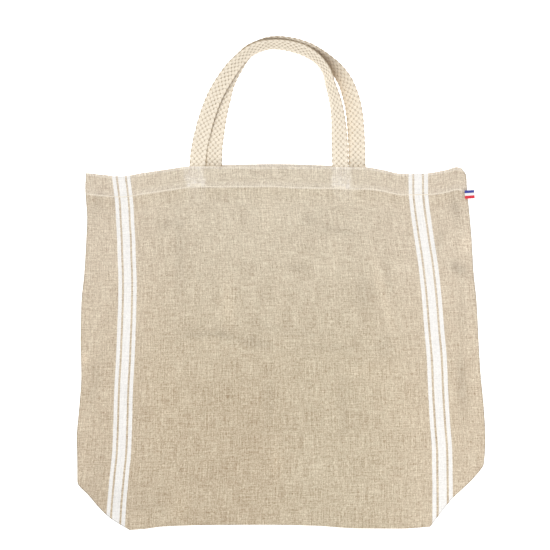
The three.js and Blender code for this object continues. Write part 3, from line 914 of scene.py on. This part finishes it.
def strand_path(steps, strand):
    """Across and up for one strand, at places counted in rows of crossings along the braid."""
    place = np.mod(steps + 2 * strand, 2 * STRANDS)
    from_left = np.where(place < STRANDS, place, 2 * STRANDS - place)
    to_turn = np.minimum(from_left, STRANDS - from_left)
    softened = np.where(to_turn < TURN_REACH, TURN_REACH / 2 + to_turn ** 2 / (2 * TURN_REACH), to_turn)
    from_left = np.where(from_left < STRANDS / 2, softened, STRANDS - softened)
    before = np.floor(place).astype(int)
    share = (1 - np.cos(math.pi * (place - before))) / 2
    up = CROSSINGS[before] * (1 - share) + CROSSINGS[before + 1] * share
    return (from_left - STRANDS / 2) * COLUMN, up * CROSS_HEIGHT


across, up = strand_path(np.arange(2 * STRANDS), 0)
print("a strand swings", round(float(across.max() - across.min()), 1), "mm across")

# %% [markdown]
# ## The line of a handle
# A handle leaves the mouth flat, turns up on its edge as it bends over the arch, and lies down again. The
# tables give its middle line, how far its outer edge stands up, and how far it lies off the ground. They
# are the CAD model's own, moved by a millimetre or two where the photograph shows the gap between the
# handles more exactly.

# %% Tables of the handles
FRONT_END_LIFT = 8.8
BACK_END_LIFT = 2.6
FRONT_HANDLE = named_rows("x y tilt lift", [
    (-112.5, 131, 0, FRONT_END_LIFT), (-113.5, 158, 0, FRONT_END_LIFT), (-111.5, 180, 3, 4.9),
    (-107, 203, 7, 4.4), (-98, 234, 11, 4.7), (-88.5, 257, 16, 5.4), (-79, 273.5, 22, 6.3),
    (-66, 292.3, 34, 7.1), (-52.6, 307, 47, 7.2), (-42, 315.3, 51, 6), (-28, 321.9, 52.5, 4.2),
    (-13.2, 324.7, 57, 2.2), (3.8, 324, 53, 1), (27.5, 318.3, 51, 0.4), (46.2, 307.9, 57, 0.3),
    (56.4, 297.6, 60, 0.3), (63.1, 286.2, 58, 0.3), (66.6, 272.3, 54, 0.4), (72.3, 254, 46, 0.7),
    (75.8, 238.5, 40, 1.5), (78, 221, 31, 2.5), (79.2, 203, 17, 3.8), (80.2, 180, 3, 6.2),
    (80.7, 158, 0, FRONT_END_LIFT), (81.2, 131, 0, FRONT_END_LIFT),
])
BACK_HANDLE = named_rows("x y tilt lift", [
    (-92, 131, 0, BACK_END_LIFT), (-91.8, 162, 0, BACK_END_LIFT), (-90.9, 187, 1, 1.7),
    (-88.5, 206, 2, 0.4), (-84.6, 231, 4, 0), (-80.1, 250, 8, 0), (-76.3, 265.8, 12, 0),
    (-71.2, 278.8, 18, 0), (-62.3, 293.2, 32, 0), (-52.9, 306.4, 43, 0), (-42.5, 316.8, 50, 0),
    (-29.7, 323.3, 55, 0), (-19.2, 327.3, 57, 0), (-6.9, 329.1, 58, 0), (11.5, 327.6, 57, 0),
    (28.2, 323.2, 55, 0), (42.6, 317, 53, 0), (62.9, 303.2, 50, 0), (76.5, 290.4, 42, 0),
    (87.8, 273.8, 31, 0), (93.2, 260.1, 22, 0), (98.2, 242.6, 14, 0), (100.8, 226, 5, 0),
    (102.7, 200.5, 1, 0), (103.4, 182, 0, 0.8), (103.6, 160, 0, BACK_END_LIFT),
    (103.9, 131, 0, BACK_END_LIFT),
])
print("rows:", len(FRONT_HANDLE), "for the front handle,", len(BACK_HANDLE), "for the back one")

# %% [markdown]
# A smooth curve goes through all the rows. The one used here weighs its bends by the distance from row to
# row, so rows that lie close together don't make it loop. Where two rows hold the same values, there is no
# distance, and a neighbour's stands in for it.

# %% A smooth curve through the rows
SAMPLES_PER_ROW = 40
NO_GAP = 1e-2


def knot_gap(a, b, spare):
    """The weight of the stretch between two rows, or a spare one where they hold the same values."""
    gap = np.linalg.norm(b - a) ** 0.5
    return spare if gap < NO_GAP else gap


def curve_through(rows, columns):
    """Samples a centripetal Catmull-Rom curve through rows, evenly from row to row."""
    points = np.array([[row[column] for column in columns] for row in rows], float)
    points = np.vstack([2 * points[0] - points[1], points, 2 * points[-1] - points[-2]])
    samples = []
    t = np.arange(SAMPLES_PER_ROW)[:, None] / SAMPLES_PER_ROW
    for a, b, c, d in zip(points, points[1:], points[2:], points[3:]):
        gap_bc = knot_gap(b, c, 1.0)
        gap_ab = knot_gap(a, b, gap_bc)
        gap_cd = knot_gap(c, d, gap_bc)
        leave = ((b - a) / gap_ab - (c - a) / (gap_ab + gap_bc)) * gap_bc + c - b
        arrive = c - b + ((d - c) / gap_cd - (d - b) / (gap_bc + gap_cd)) * gap_bc
        square = -3 * b + 3 * c - 2 * leave - arrive
        cube = 2 * b - 2 * c + leave + arrive
        samples.append(b + leave * t + square * t ** 2 + cube * t ** 3)
    return np.vstack(samples + [points[-2:-1]])


def lengths_along(points):
    """How far along a line of points each of them is."""
    return np.concatenate([[0], np.cumsum(np.linalg.norm(np.diff(points, axis=0), axis=1))])


def handle_line(rows):
    """Length along the handle, and its middle, direction, tilt and lift at each sample."""
    places = curve_through(rows, ("x", "y"))
    poise = curve_through(rows, ("tilt", "lift"))
    lengths = lengths_along(places)
    ways = np.gradient(places, lengths, axis=0)
    ways /= np.linalg.norm(ways, axis=1)[:, None]
    line = {"length": lengths, "tilt": np.radians(poise[:, 0]), "lift": poise[:, 1]}
    line.update(x=places[:, 0], y=places[:, 1], way_x=ways[:, 0], way_y=ways[:, 1])
    return line


front_line = handle_line(FRONT_HANDLE)
back_line = handle_line(BACK_HANDLE)
print("handles are", round(front_line["length"][-1]), "and", round(back_line["length"][-1]), "mm long")

# %% [markdown]
# The straight braid is now carried along the handle's line: each of its points keeps its distance along,
# its distance across and its height, but these are measured from the bent and tilted middle of the handle.

# %% Carry the braid along a handle


def on_handle(line, along, across, up):
    """Points of the straight braid, carried to the handle."""
    at = {name: np.interp(along, line["length"], line[name]) for name in line}
    out = across * np.cos(at["tilt"]) - up * np.sin(at["tilt"])
    rise = across * np.sin(at["tilt"]) + up * np.cos(at["tilt"])
    stand = BRAID_WIDTH / 2 * np.sin(np.abs(at["tilt"])) + BRAID_THICK / 2 * np.cos(at["tilt"])
    x = at["x"] - at["way_y"] * out
    y = at["y"] + at["way_x"] * out
    return np.stack([x, y, stand + BRAID_REST + at["lift"] + rise], axis=-1)


outer_edge = on_handle(back_line, back_line["length"], BRAID_WIDTH / 2, 0)
print("the back handle stands up to", round(float(outer_edge[:, 2].max()), 1), "mm high")

# %% [markdown]
# Where the front handle lies over the back one or close beside it, little light gets in between them, and
# that shade is painted into the cotton's colour. Every point of the back handle is marked with how far it
# lies in that crease. The table gives, along the front handle, how dark the painted shade is and how many
# millimetres it reaches out from the edge of the strap.

# %% Painted shade in the crease between the handles
CREASE_FADE = 1.3
CREASE_SHADES = {
    "along": [27, 36, 60, 80, 125, 150, 200, 222, 250, 262, 278, 290, 300, 312, 330, 345, 400, 435, 457],
    "amount": [0.5, 0.05, 0.05, 0.85, 0.9, 0.8, 0.65, 1, 1, 0.6, 0.45, 1, 1, 1, 0.9, 0.55, 0.15, 0.3, 0.6],
    "reach": [0.5, 0.4, 0.4, 0.4, 0.4, 0.4, 0.7, 1.3, 1.2, 0.7, 0.7, 1.8, 4.4, 9, 9.5, 9.5, 3, 0.5, 0.5],
}


def crease_shade(points, upper):
    """How much painted shade each point gets in the crease beside an upper strap: most at its edge, none
    far from it.
    """
    if upper is None:
        return np.zeros(len(points))
    near = np.argmin((points[:, :1] - upper["x"]) ** 2 + (points[:, 1:2] - upper["y"]) ** 2, axis=1)
    way_x, way_y, tilt, length = (upper[name][near] for name in ("way_x", "way_y", "tilt", "length"))
    out = -way_y * (points[:, 0] - upper["x"][near]) + way_x * (points[:, 1] - upper["y"][near])
    beyond = np.maximum(np.abs(out) - BRAID_WIDTH / 2 * np.cos(tilt), 0)
    amount = np.interp(length, CREASE_SHADES["along"], CREASE_SHADES["amount"])
    reach = np.interp(length, CREASE_SHADES["along"], CREASE_SHADES["reach"])
    return amount * np.exp(-(beyond / reach) ** CREASE_FADE)


print("the crease reaches", min(CREASE_SHADES["reach"]), "to", max(CREASE_SHADES["reach"]), "mm out")

# %% [markdown]
# ### Tubes for strands
# Each strand is a flattened tube, closed at its two ends: a ring of points at every quarter of a crossing.
# The rings stand square to the strand, not to the handle, so the strand keeps its width as it zigzags.

# %% One strand as a tube
STRAND_STEPS = 4
STRAND_SIDES = 10
TUBE_ANGLES = 2 * math.pi * np.arange(STRAND_SIDES) / STRAND_SIDES
GIRTH = 2 * math.pi * math.sqrt((STRAND_HALF_WIDE ** 2 + STRAND_HALF_THICK ** 2) / 2)


def strand_tube(line, steps, strand, spread):
    """Points of one strand on a handle, ring by ring, and how deep each lies in the braid."""
    across, up = strand_path(steps, strand)
    slope = np.gradient(across, steps * ROW)
    run = 1 / np.hypot(1, slope)
    wide = STRAND_HALF_WIDE * np.cos(TUBE_ANGLES)
    along = steps[:, None] * ROW - (slope * run)[:, None] * wide
    sideways = (across[:, None] + run[:, None] * wide) * spread
    height = up[:, None] + STRAND_HALF_THICK * np.sin(TUBE_ANGLES)
    points = on_handle(line, np.clip(along, 0, line["length"][-1]), sideways, height)
    return points.reshape(-1, 3).tolist(), (BRAID_THICK / 2 - np.abs(height)).ravel().tolist()


def tube_faces(first, rings):
    """Faces of one closed tube, whose points are numbered from first."""
    faces = []
    for base in range(first, first + (rings - 1) * STRAND_SIDES, STRAND_SIDES):
        above = base + STRAND_SIDES
        for side in range(STRAND_SIDES):
            after = (side + 1) % STRAND_SIDES
            faces.append((base + side, base + after, above + after, above + side))
    last = first + (rings - 1) * STRAND_SIDES
    faces.append(tuple(range(first + STRAND_SIDES - 1, first - 1, -1)))
    faces.append(tuple(range(last, last + STRAND_SIDES)))
    return faces


print("a strand is", round(GIRTH, 1), "mm round")

# %% [markdown]
# Seven tubes make a handle. The back handle has eased a little in its width, as braids do. On the UV map
# each strand lies flat beside the next one, cut open along one line of points.

# %% Make the handles
BACK_SPREAD = 1.04


def braid(name, line, spread=1.0, upper=None):
    """A braided handle of seven strands. Spread is how much its width has eased."""
    steps = np.arange(0, line["length"][-1] / ROW, 1 / STRAND_STEPS)
    points, flat, faces, depth = [], [], [], []
    for strand in range(STRANDS):
        faces += tube_faces(len(points), len(steps))
        more_points, more_depth = strand_tube(line, steps, strand, spread)
        points += more_points
        depth += more_depth
        ring = GIRTH * np.arange(STRAND_SIDES) / STRAND_SIDES + strand * 2 * GIRTH
        flat += [(around, step * ROW) for step in steps for around in ring]
    corners = []
    for face in faces:
        wraps = len(face) == 4 and face[0] % STRAND_SIDES == STRAND_SIDES - 1
        for number, corner in enumerate(face):
            around, along = flat[corner]
            corners.append((around + GIRTH if wraps and number in (1, 2) else around, along))
    # The depth mark sets painted shade in the pits between the strands, and the crease mark sets painted
    # shade in the crease between the handles.
    marks = {"depth": np.array(depth) * MM, "crease": crease_shade(np.array(points), upper)}
    return finish_mesh(make_object(name, points, faces, corners, marks), smooth_angle=60)


front_handle = braid("braid_front", front_line)
back_handle = braid("braid_back", back_line, BACK_SPREAD, front_line)
print("faces in a handle:", len(front_handle.data.polygons))

# %% [markdown]
# ## Stitches
# The hem is held by one row of pale thread. A stitch is a short grain of thread with its ends sunk in the
# cloth. We model one from a small sphere, and copy it along the row into one mesh. The faces of a new
# sphere come in no fixed order, so we sort them, and every run gives the same mesh.

# %% Model one stitch
STITCH_LENGTH = 3.0
STITCH_PITCH = 3.2
THREAD_RADIUS = 0.68
THREAD_FLATNESS = 0.8

bpy.ops.object.select_all(action="DESELECT")
bpy.ops.mesh.primitive_uv_sphere_add(segments=8, ring_count=6, radius=1.0, rotation=(0, math.pi / 2, 0))
grain = bpy.context.object
bpy.ops.object.transform_apply(location=False, rotation=True, scale=False)
bpy.ops.object.mode_set(mode="EDIT")
bpy.ops.mesh.select_all(action="SELECT")
bpy.ops.transform.resize(value=(STITCH_LENGTH / 2, THREAD_RADIUS, THREAD_RADIUS * THREAD_FLATNESS))
bpy.ops.object.mode_set(mode="OBJECT")
grain_points = np.array([vertex.co for vertex in grain.data.vertices])
grain_faces = sorted(tuple(face.vertices) for face in grain.data.polygons)
bpy.data.objects.remove(grain)
print("a stitch has", len(grain_faces), "faces")

# %% [markdown]
# A row of stitches follows the outside of a panel. The first helper finds its line, and the others lay a
# copy of the stitch every few millimetres, turned the way the row runs, and join several rows into one
# piece.

# %% Lay stitches along a line
AHEAD = 0.5


def beside_row(above, xs, panel):
    """Points on the outside of a panel, at a distance above the row of stitches."""
    points = []
    for at in xs:
        row_y = STITCH_ROW_Y + float(read(STITCH_LINE, at, "x", "rise")) + above
        x, y, top, inward = place_on(row_y, SHARES, panel)
        outside = top if panel == "front" else layer_heights(top, inward)["back"] - LINEN / 2
        points.append((at, np.interp(at, x, y), np.interp(at, x, outside)))
    return np.array(points)


def sew(line, sink):
    """Copies of the stitch along a line of points, as points and faces."""
    lengths = lengths_along(line)
    points, faces = [], []
    for start in np.arange(STITCH_PITCH / 2, lengths[-1] - STITCH_PITCH / 2, STITCH_PITCH):
        at = [np.array([np.interp(start + d, lengths, line[:, k]) for k in range(3)]) for d in (0, AHEAD)]
        way = (at[1] - at[0]) / np.linalg.norm(at[1] - at[0])
        side = np.cross((0, 0, 1), way)
        side /= np.linalg.norm(side)
        turn = np.stack([way, side, np.cross(way, side)])
        first = len(points)
        points += (grain_points @ turn + at[0] - (0, 0, sink)).tolist()
        faces += [tuple(first + i for i in face) for face in grain_faces]
    return points, faces


def seam(name, lines, sink):
    """One piece from several rows of stitches. Sink is how deep the thread lies in the cloth."""
    points, faces = [], []
    for line in lines:
        more_points, more_faces = sew(line, sink)
        faces += [tuple(len(points) + i for i in face) for face in more_faces]
        points += more_points
    return finish_mesh(make_object(name, points, faces), smooth_angle=60)


print("stitches in 100 mm of a row:", int(100 / STITCH_PITCH))

# %% [markdown]
# The long rows run round the hem, on the front and on the back. Over each end of the front handle two short
# rows lie close above the long one, where the machine went to and fro to sew the strap down. On the back
# the stitches stand out below the panel, so they sink the other way.

# %% Sew the rows
STITCH_SINK = 0.05
BACK_SINK = -0.6 * THREAD_RADIUS
ROW_INSET = 2
ROW_STEP = 4.0
END_ROW_STEP = 2.0
END_ROW_RISES = [1.8, 3.8]
END_ROWS = named_rows("x half pale_from pale_to", [(-114.0, 10.0, -17, 10.5), (81.0, 9.0, -12, 15)])

row_left = side_x(LEFT_SIDE, STITCH_ROW_Y) + ROW_INSET
row_right = side_x(RIGHT_SIDE, STITCH_ROW_Y) - ROW_INSET
row_places = np.arange(row_left, row_right, ROW_STEP)
front_rows = [beside_row(0, row_places, "front")]
for end in END_ROWS:
    end_places = np.arange(end["x"] - end["half"], end["x"] + end["half"], END_ROW_STEP)
    front_rows += [beside_row(rise, end_places, "front") for rise in END_ROW_RISES]
hem_seam = seam("hem_stitches", front_rows, STITCH_SINK)
back_seam = seam("back_hem_stitches", [beside_row(0, row_places, "back")], BACK_SINK)
print("stitches:", (len(hem_seam.data.polygons) + len(back_seam.data.polygons)) // len(grain_faces))

# %% [markdown]
# ## The ribbon in the side seam
# A short piece of woven ribbon, blue, white and red, is folded double and caught by its two ends. It is one
# strip: out along the top layer, round the fold at its free end, and back along the lower layer. First we
# draw this path from the side.

# %% The path of the ribbon
RIBBON_SPACING = 0.9
RIBBON_LINE = {"x": [250.4, 254.5, 259, 263], "z": [6.6, 5.9, 5.3, 4.5]}
RIBBON_POINTS = 13
BEND_POINTS = 7

rows = len(RIBBON_LINE["x"])
out = np.interp(np.linspace(0, 1, RIBBON_POINTS), np.linspace(0, 1, rows), RIBBON_LINE["x"])
high = read(RIBBON_LINE, out, "x", "z")
half_gap = RIBBON_SPACING / 2
bend = np.linspace(math.pi / 2, -math.pi / 2, BEND_POINTS)[1:-1]
path_x = np.concatenate([out, out[-1] + half_gap * np.cos(bend), out[::-1]])
path_z = np.concatenate([high + half_gap, high[-1] + half_gap * np.sin(bend), high[::-1] - half_gap])
path_length = lengths_along(np.stack([path_x, path_z], axis=-1))

# %% [markdown]
# The strip gets its width from the path, turned a few degrees in the seam. A faint wave grows towards the
# free end, so that its ribs catch the light as cloth does.

# %% Fold the ribbon
RIBBON_WIDTH = 11.3
RIBBON_CLOTH = 0.45
RIBBON_Y = 120.5
RIBBON_TURN = math.radians(4)
RIBBON_WAVE = 0.18
WAVE_ACROSS = 0.5
WAVE_ALONG = 0.25
WAVE_GROWTH = 13

points, ribbon_flat, faces, corners = [], [], [], []
for px, pz, run in zip(path_x, path_z, path_length):
    for width_at in np.linspace(-RIBBON_WIDTH / 2, RIBBON_WIDTH / 2, RIBBON_POINTS):
        wave = RIBBON_WAVE * math.sin(width_at * WAVE_ACROSS + run * WAVE_ALONG)
        dx = px - RIBBON_LINE["x"][0]
        x = RIBBON_LINE["x"][0] + dx * math.cos(RIBBON_TURN) - width_at * math.sin(RIBBON_TURN)
        y = RIBBON_Y + dx * math.sin(RIBBON_TURN) + width_at * math.cos(RIBBON_TURN)
        points.append((x, y, pz + wave * dx / WAVE_GROWTH))
        ribbon_flat.append((run, width_at))
for step in range(len(path_x) - 1):
    for corner in range(step * RIBBON_POINTS, (step + 1) * RIBBON_POINTS - 1):
        face = (corner, corner + RIBBON_POINTS, corner + RIBBON_POINTS + 1, corner + 1)
        faces.append(face)
        corners += [ribbon_flat[i] for i in face]
ribbon = finish_mesh(make_object("seam_ribbon", points, faces, corners), RIBBON_CLOTH)
print("the ribbon is one strip with", len(faces), "faces")

# %% [markdown]
# ## The linen's finish
# Linen yarn is uneven: it swells into slubs a few centimetres long, in the warp and in the weft, and the
# yarns vary in tone. So the colour is a sum of soft noises on the flat cloth: long streaks one yarn wide
# both ways, single specks, and broad patches. Each row below gives the size of its spots in millimetres.

# %% Tones of the linen
TONES = named_rows("across along amount seed", [
    (1.1, 5, 1.0, 1), (5, 1.1, 0.85, 2), (1.1, 34, 1.0, 3), (28, 1.1, 0.84, 4), (1.0, 1.0, 1.15, 5),
    (4, 6, 0.22, 6), (14, 16, 0.17, 7), (70, 90, 0.12, 8), (1.8, 1.8, 0.55, 10),
])

linen, linen_shader = new_material("natural_linen", roughness=0.9, specular=0.2, sheen=0.08)
u, v = cloth_places(linen)
along_size = abs(v)
tone = 1.0
spots = []
for row in TONES:
    spots.append(blotches(u, v, row["across"], row["along"], row["seed"]))
    tone = (spots[-1] - 0.5) * row["amount"] + tone
warp_slubs, weft_slubs = spots[:2]
small_patches, large_patches = spots[5:7]
print("tones in the linen:", len(TONES))

# %% [markdown]
# The weave itself is a plain one: each yarn goes over one and under one. The product of two sine waves is
# the cheapest pattern that has a small hump for every crossing and a pit between them. The white stripes
# are bleached warp yarns: two narrow ones with a broad one between them make a band. They are cut out by
# their distance from the middle of the band, which a little noise shifts, as no yarn is quite straight. The
# bands on the left and on the right differ a little in width.

# %% Weave and stripes
YARN = 0.9
STRIPE_STOPS = [(5.2, -1), (8.0, 1), (13.2, -1)]
STRIPE_BLUR = 0.25
STRIPE_WANDER = 0.8
BAND_SCALE = (-10, 10, 1.035, 0.965)

humps = abs(sine_wave(u, 2 * YARN) * sine_wave(v, 2 * YARN))
wander = (warp_slubs - 0.5) * (STRIPE_WANDER * MM)
from_band = abs(abs(u) + wander - BAND_AT * MM) * ramp_mm(u, *BAND_SCALE)
stripe = 1.0
for place, change in STRIPE_STOPS:
    stripe = stripe + ramp_mm(from_band, place - STRIPE_BLUR, place + STRIPE_BLUR) * change
print("edges of a stripe band, from its middle:", [place for place, _ in STRIPE_STOPS], "mm")

# %% [markdown]
# ### Paler places and painted light
# The cloth is paler where light comes through it or where it is doubled. Every slope of tone below is a row
# of four numbers: where it starts and ends, in millimetres, and its amounts there. Towards the mouth a
# little white is added as a painted sheen, and in the hem a little more for the doubled cloth. Towards the
# side seams painted light makes the flax paler and warmer.

# %% Painted sheen towards the mouth, painted light at the sides, paler hem
SHEEN_TO_MOUTH = (HALF_LENGTH - 330, HALF_LENGTH, 0.0, 0.125)
LIGHT_TO_LEFT = (-262, -150, 0.085, 0.0)
LIGHT_TO_RIGHT = (100, 250, 0.0, 0.09)
SIDES_BELOW_HEM = (-120, 0, 1.0, 0.2)
IN_HEM = (-0.6, 0.6)
PALE_IN_HEM = 0.028

above = mark(linen, "above")
side_light = (ramp_mm(u, *LIGHT_TO_LEFT) + ramp_mm(u, *LIGHT_TO_RIGHT)) * ramp_mm(above, *SIDES_BELOW_HEM)
pale = ramp_mm(along_size, *SHEEN_TO_MOUTH) + ramp_mm(above, *IN_HEM) * PALE_IN_HEM
print("paler from", SHEEN_TO_MOUTH[0], "mm along the cloth up to the mouth")

# %% [markdown]
# Over the ends of the front handle the thick braid lifts the hem, which is palest there. The edge of that
# pale place is ragged, so noise shifts it, and more noise makes it stronger here and weaker there. It
# starts faintly below the stitches, is strongest just above them and fades towards the mouth.

# %% Paler over the ends of the handle
PALE_OVER_STRAP = 0.27
STRAP_MIDDLE_Y = 145.0
STRAP_BLUR = 3.5
STRAP_WANDER = 12
UP_TO_ROW = (-30, -1, 0.0, 0.2)
ACROSS_ROW = (0, 2, 0.0, 0.8)
UP_TO_MOUTH = (2, 20, 1.0, 0.55)
STRONG_AND_WEAK = (0.3, 0.65, 0.5 * PALE_OVER_STRAP, 1.4 * PALE_OVER_STRAP)


def band(length, low, high, blur):
    """1 between two places, given in millimetres, and 0 outside them."""
    return ramp_mm(length, low - blur, low + blur) * ramp_mm(length, high - blur, high + blur, 1.0, 0.0)


for end in END_ROWS:
    strap_at = float(across_cloth(np.array([end["x"]]), np.array([STRAP_MIDDLE_Y]))[0])
    ragged = u + (large_patches - 0.5) * (STRAP_WANDER * MM)
    over = band(ragged, strap_at + end["pale_from"], strap_at + end["pale_to"], STRAP_BLUR)
    over = over * (ramp_mm(above, *UP_TO_ROW) + ramp_mm(above, *ACROSS_ROW)) * ramp_mm(above, *UP_TO_MOUTH)
    pale = pale + over * ramp(small_patches, *STRONG_AND_WEAK)
print("pale places over the straps:", len(END_ROWS))

# %% [markdown]
# The pull of the thread makes a ridge along the row of stitches. It gets a painted highlight, with soft
# painted light on the slope above it, and a strip just below it is a little less pale. The fold of the
# mouth gets a painted highlight along its rim. The back panel's hem, which shows behind it, is paler still.

# %% Painted highlights at the stitches and the rim
RIDGE = (-1.3, 1.3, 0.5)
RIDGE_HIGHLIGHT = 0.15
RIM = (HALF_LENGTH - 2.4, HALF_LENGTH + 0.4, 0.5)
RIM_HIGHLIGHT = 0.14
LIGHT_ABOVE_RIDGE = (4, 9, 0.05, 0.0)
FROM_ROW = (-1, 1)
BEHIND_MOUTH = (-(HALF_LENGTH + 1), -(HALF_LENGTH - 2.5), 0.33, 0.0)
BELOW_ROW = (-28, -4, 0.0, 0.035)
TO_ROW = (-1.6, -0.4, 1.0, 0.0)

pale = pale + band(above, *RIDGE) * RIDGE_HIGHLIGHT
pale = pale + ramp_mm(above, *LIGHT_ABOVE_RIDGE) * ramp_mm(above, *FROM_ROW)
pale = pale + band(v, *RIM) * RIM_HIGHLIGHT
pale = pale + ramp_mm(v, *BEHIND_MOUTH)
pale = pale - ramp_mm(above, *BELOW_ROW) * ramp_mm(above, *TO_ROW)
print("the pale ridge is", RIDGE[1] - RIDGE[0], "mm wide")

# %% [markdown]
# ### Painted shade
# The cloth gets painted shade along its folded edges and in the hollows of the folds. In the lower part,
# left of the middle, painted shade makes the flax darker and browner.

# %% Painted shade at the edges, in the hollows and at the lower left
EDGE_SHADE = (-0.3, 0.8, 0.30, 0.0)
HOLLOW_SHADE = 48
LOWER_LEFT_SHADE = 0.1
SHADE_TO_LEFT = (-180, -90, 0.2 * LOWER_LEFT_SHADE, LOWER_LEFT_SHADE)
SHADE_TO_RIGHT = (-40, 50, 1.0, 0.0)
SHADE_UPWARDS = (180, 400, 1.0, 0.0)

shade = 1.0 - ramp_mm(mark(linen, "inward"), *EDGE_SHADE) - mark(linen, "hollow") * HOLLOW_SHADE
shade_at_lower_left = ramp_mm(u, *SHADE_TO_LEFT) * ramp_mm(u, *SHADE_TO_RIGHT) * ramp_mm(along_size, *SHADE_UPWARDS)
print("a hollow 1 mm deep is darker by", HOLLOW_SHADE * MM)

# %% [markdown]
# ### The mix
# Now the colours come together. The flax swings between a golden and a pinker tone, in small patches and
# towards the sides. The uneven yarns are added to it as light and dark, with their own tint, and the
# bleached stripes show less of them. The relief is the weave with the slubs on top.

# %% Mix the linen
FLAX_PINK = (0.564, 0.46, 0.334)
FLAX_GOLD = (0.553, 0.47, 0.341)
FLAX_SWING = (0.485, 0.48, 0.4)
FLAX_SHADE = (0.33, 0.16, 0.07)
FLAX_LIT = (1.0, 0.9, 0.77)
WARM_WHITE = (1.0, 0.955, 0.9)
BLEACHED = (0.86, 0.838, 0.805)
BLEACHED_SWING = 0.3
HUE_SPOTS = (9, 10, 9)
HUE_IN_SPOTS = (0.3, 0.7, 0.0, 0.35)
HUE_TO_SIDES = (80, 240, 0.0, 0.65)
HUMP_HEIGHT = 0.5
SLUB_HEIGHT = 0.5

hue = ramp(blotches(u, v, *HUE_SPOTS), *HUE_IN_SPOTS) + ramp_mm(abs(u), *HUE_TO_SIDES)
flax = blend(hue, FLAX_GOLD, FLAX_PINK)
# Painted shade at the lower left, painted light at the sides, and the paler places with their painted sheen
# and highlights.
for share, other in ((shade_at_lower_left, FLAX_SHADE), (side_light, FLAX_LIT), (pale, WARM_WHITE)):
    flax = blend(share, flax, other)
uneven = tone - 1.0
flax = add_node(linen.node_tree, "VectorMath", {0: flax, 1: tint(FLAX_SWING, uneven)}, operation="ADD")
white = tint(BLEACHED, uneven * BLEACHED_SWING + 1.0)
feed(linen_shader.inputs["Base Color"], tint(blend(stripe, flax, white), shade))
slubs = warp_slubs * SLUB_HEIGHT + weft_slubs * SLUB_HEIGHT
add_relief(linen_shader, strength=0.5, depth=0.25, height=humps * HUMP_HEIGHT + slubs)
body.data.materials.append(linen)
print("linen mixed, with", len(linen.node_tree.nodes), "nodes")

# %% [markdown]
# ## Cotton, thread and ribbon
# The handles are unbleached cotton: cream, with fine yarns that run along each strand. Painted shade
# darkens the pits between the strands and the crease between the handles.

# %% Cotton of the handles
COTTON = (0.93, 0.835, 0.69)
PIT_SHADE_COLOR = (0.5, 0.4, 0.275)
PIT_SHADE_DEPTHS = (0.4, 1.1)
CREASE_SHADE_COLOR = (0.19, 0.105, 0.04)
CREASE_SHADE_AMOUNT = 0.85
COTTON_TONE = 0.83
FLECKS = (0.9, 5, 1)
FLECK_AMOUNT = 0.22
PATCHES = (9, 14, 2)
PATCH_AMOUNT = 0.12
COTTON_YARN = 0.75
YARN_SLANT = 0.35

cotton, cotton_shader = new_material("cream_cotton", roughness=0.88, specular=0.2, sheen=0.1)
around, along = cloth_places(cotton)
fleck = blotches(around, along, *FLECKS)
patch = blotches(around, along, *PATCHES)
tone = fleck * FLECK_AMOUNT + patch * PATCH_AMOUNT + COTTON_TONE
# Painted shade in the pits, where the strands lie deep in the braid.
color = tint(blend(ramp_mm(mark(cotton, "depth"), *PIT_SHADE_DEPTHS), COTTON, PIT_SHADE_COLOR), tone)
# Painted shade in the crease between the handles.
color = blend(mark(cotton, "crease") * CREASE_SHADE_AMOUNT, color, CREASE_SHADE_COLOR)
feed(cotton_shader.inputs["Base Color"], color)
yarns = sine_wave(around + along * YARN_SLANT, COTTON_YARN)
add_relief(cotton_shader, strength=0.5, depth=0.2, height=yarns)
for handle in (front_handle, back_handle):
    handle.data.materials.append(cotton)
print("cotton mixed, with", len(cotton.node_tree.nodes), "nodes")

# %% [markdown]
# The thread of the stitches is the same cream. A stitch has no UV map, so the fibres are a fine noise in
# the piece's own coordinates.

# %% Thread
THREAD = (0.86, 0.78, 0.64)
THREAD_TONE = 0.8
FIBRE_SCALE = 900.0
FIBRE_AMOUNT = 0.4

thread, thread_shader = new_material("cream_thread", roughness=0.7, specular=0.3, sheen=0.1)
place = add_node(thread.node_tree, "TexCoord", {}, "Object")
inputs = {"Vector": place, "Scale": FIBRE_SCALE, "Detail": NOISE_DETAIL}
fibres = add_node(thread.node_tree, "TexNoise", inputs)
feed(thread_shader.inputs["Base Color"], tint(THREAD, fibres * FIBRE_AMOUNT + THREAD_TONE))
for piece in (hem_seam, back_seam):
    piece.data.materials.append(thread)
print("thread mixed, with", len(thread.node_tree.nodes), "nodes")

# %% [markdown]
# The ribbon has three woven stripes along it, blue, white and red, and fine ribs across it. A speckle of
# single yarns keeps its colours from looking printed.

# %% Woven ribbon
BLUE = (0.045, 0.055, 0.31)
WHITE = (0.88, 0.88, 0.89)
RED = (0.72, 0.035, 0.055)
TO_BLUE = (1.75, 2.05)
FROM_RED = (-1.75, -1.45, 1.0, 0.0)
SPECKS = (0.6, 0.6, 3)
SPECK_AMOUNT = 0.5
RIBBON_TONE = 0.75
RIB = 0.55

woven, woven_shader = new_material("tricolour_ribbon", roughness=0.6, specular=0.3, sheen=0.1)
along, across = cloth_places(woven)
color = blend(ramp_mm(across, *FROM_RED), blend(ramp_mm(across, *TO_BLUE), WHITE, BLUE), RED)
tone = blotches(along, across, *SPECKS) * SPECK_AMOUNT + RIBBON_TONE
feed(woven_shader.inputs["Base Color"], tint(color, tone))
add_relief(woven_shader, strength=0.4, depth=0.12, height=sine_wave(along, RIB))
ribbon.data.materials.append(woven)
print("ribbon mixed, with", len(woven.node_tree.nodes), "nodes")

# %% [markdown]
# ## Hand the pieces over
# Every piece replaces the plain CAD solid that it stands for and rides on the model's one body.

# %% Hand over and finish
for piece, node, slot in (
    (body, "body", "linen"),
    (front_handle, "handle_front", "cotton_braid"),
    (back_handle, "handle_back", "cotton_braid"),
    (ribbon, "side_ribbon", "ribbon"),
):
    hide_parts(node)
    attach(piece, "root")
for piece in (hem_seam, back_seam):
    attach(piece, "root")
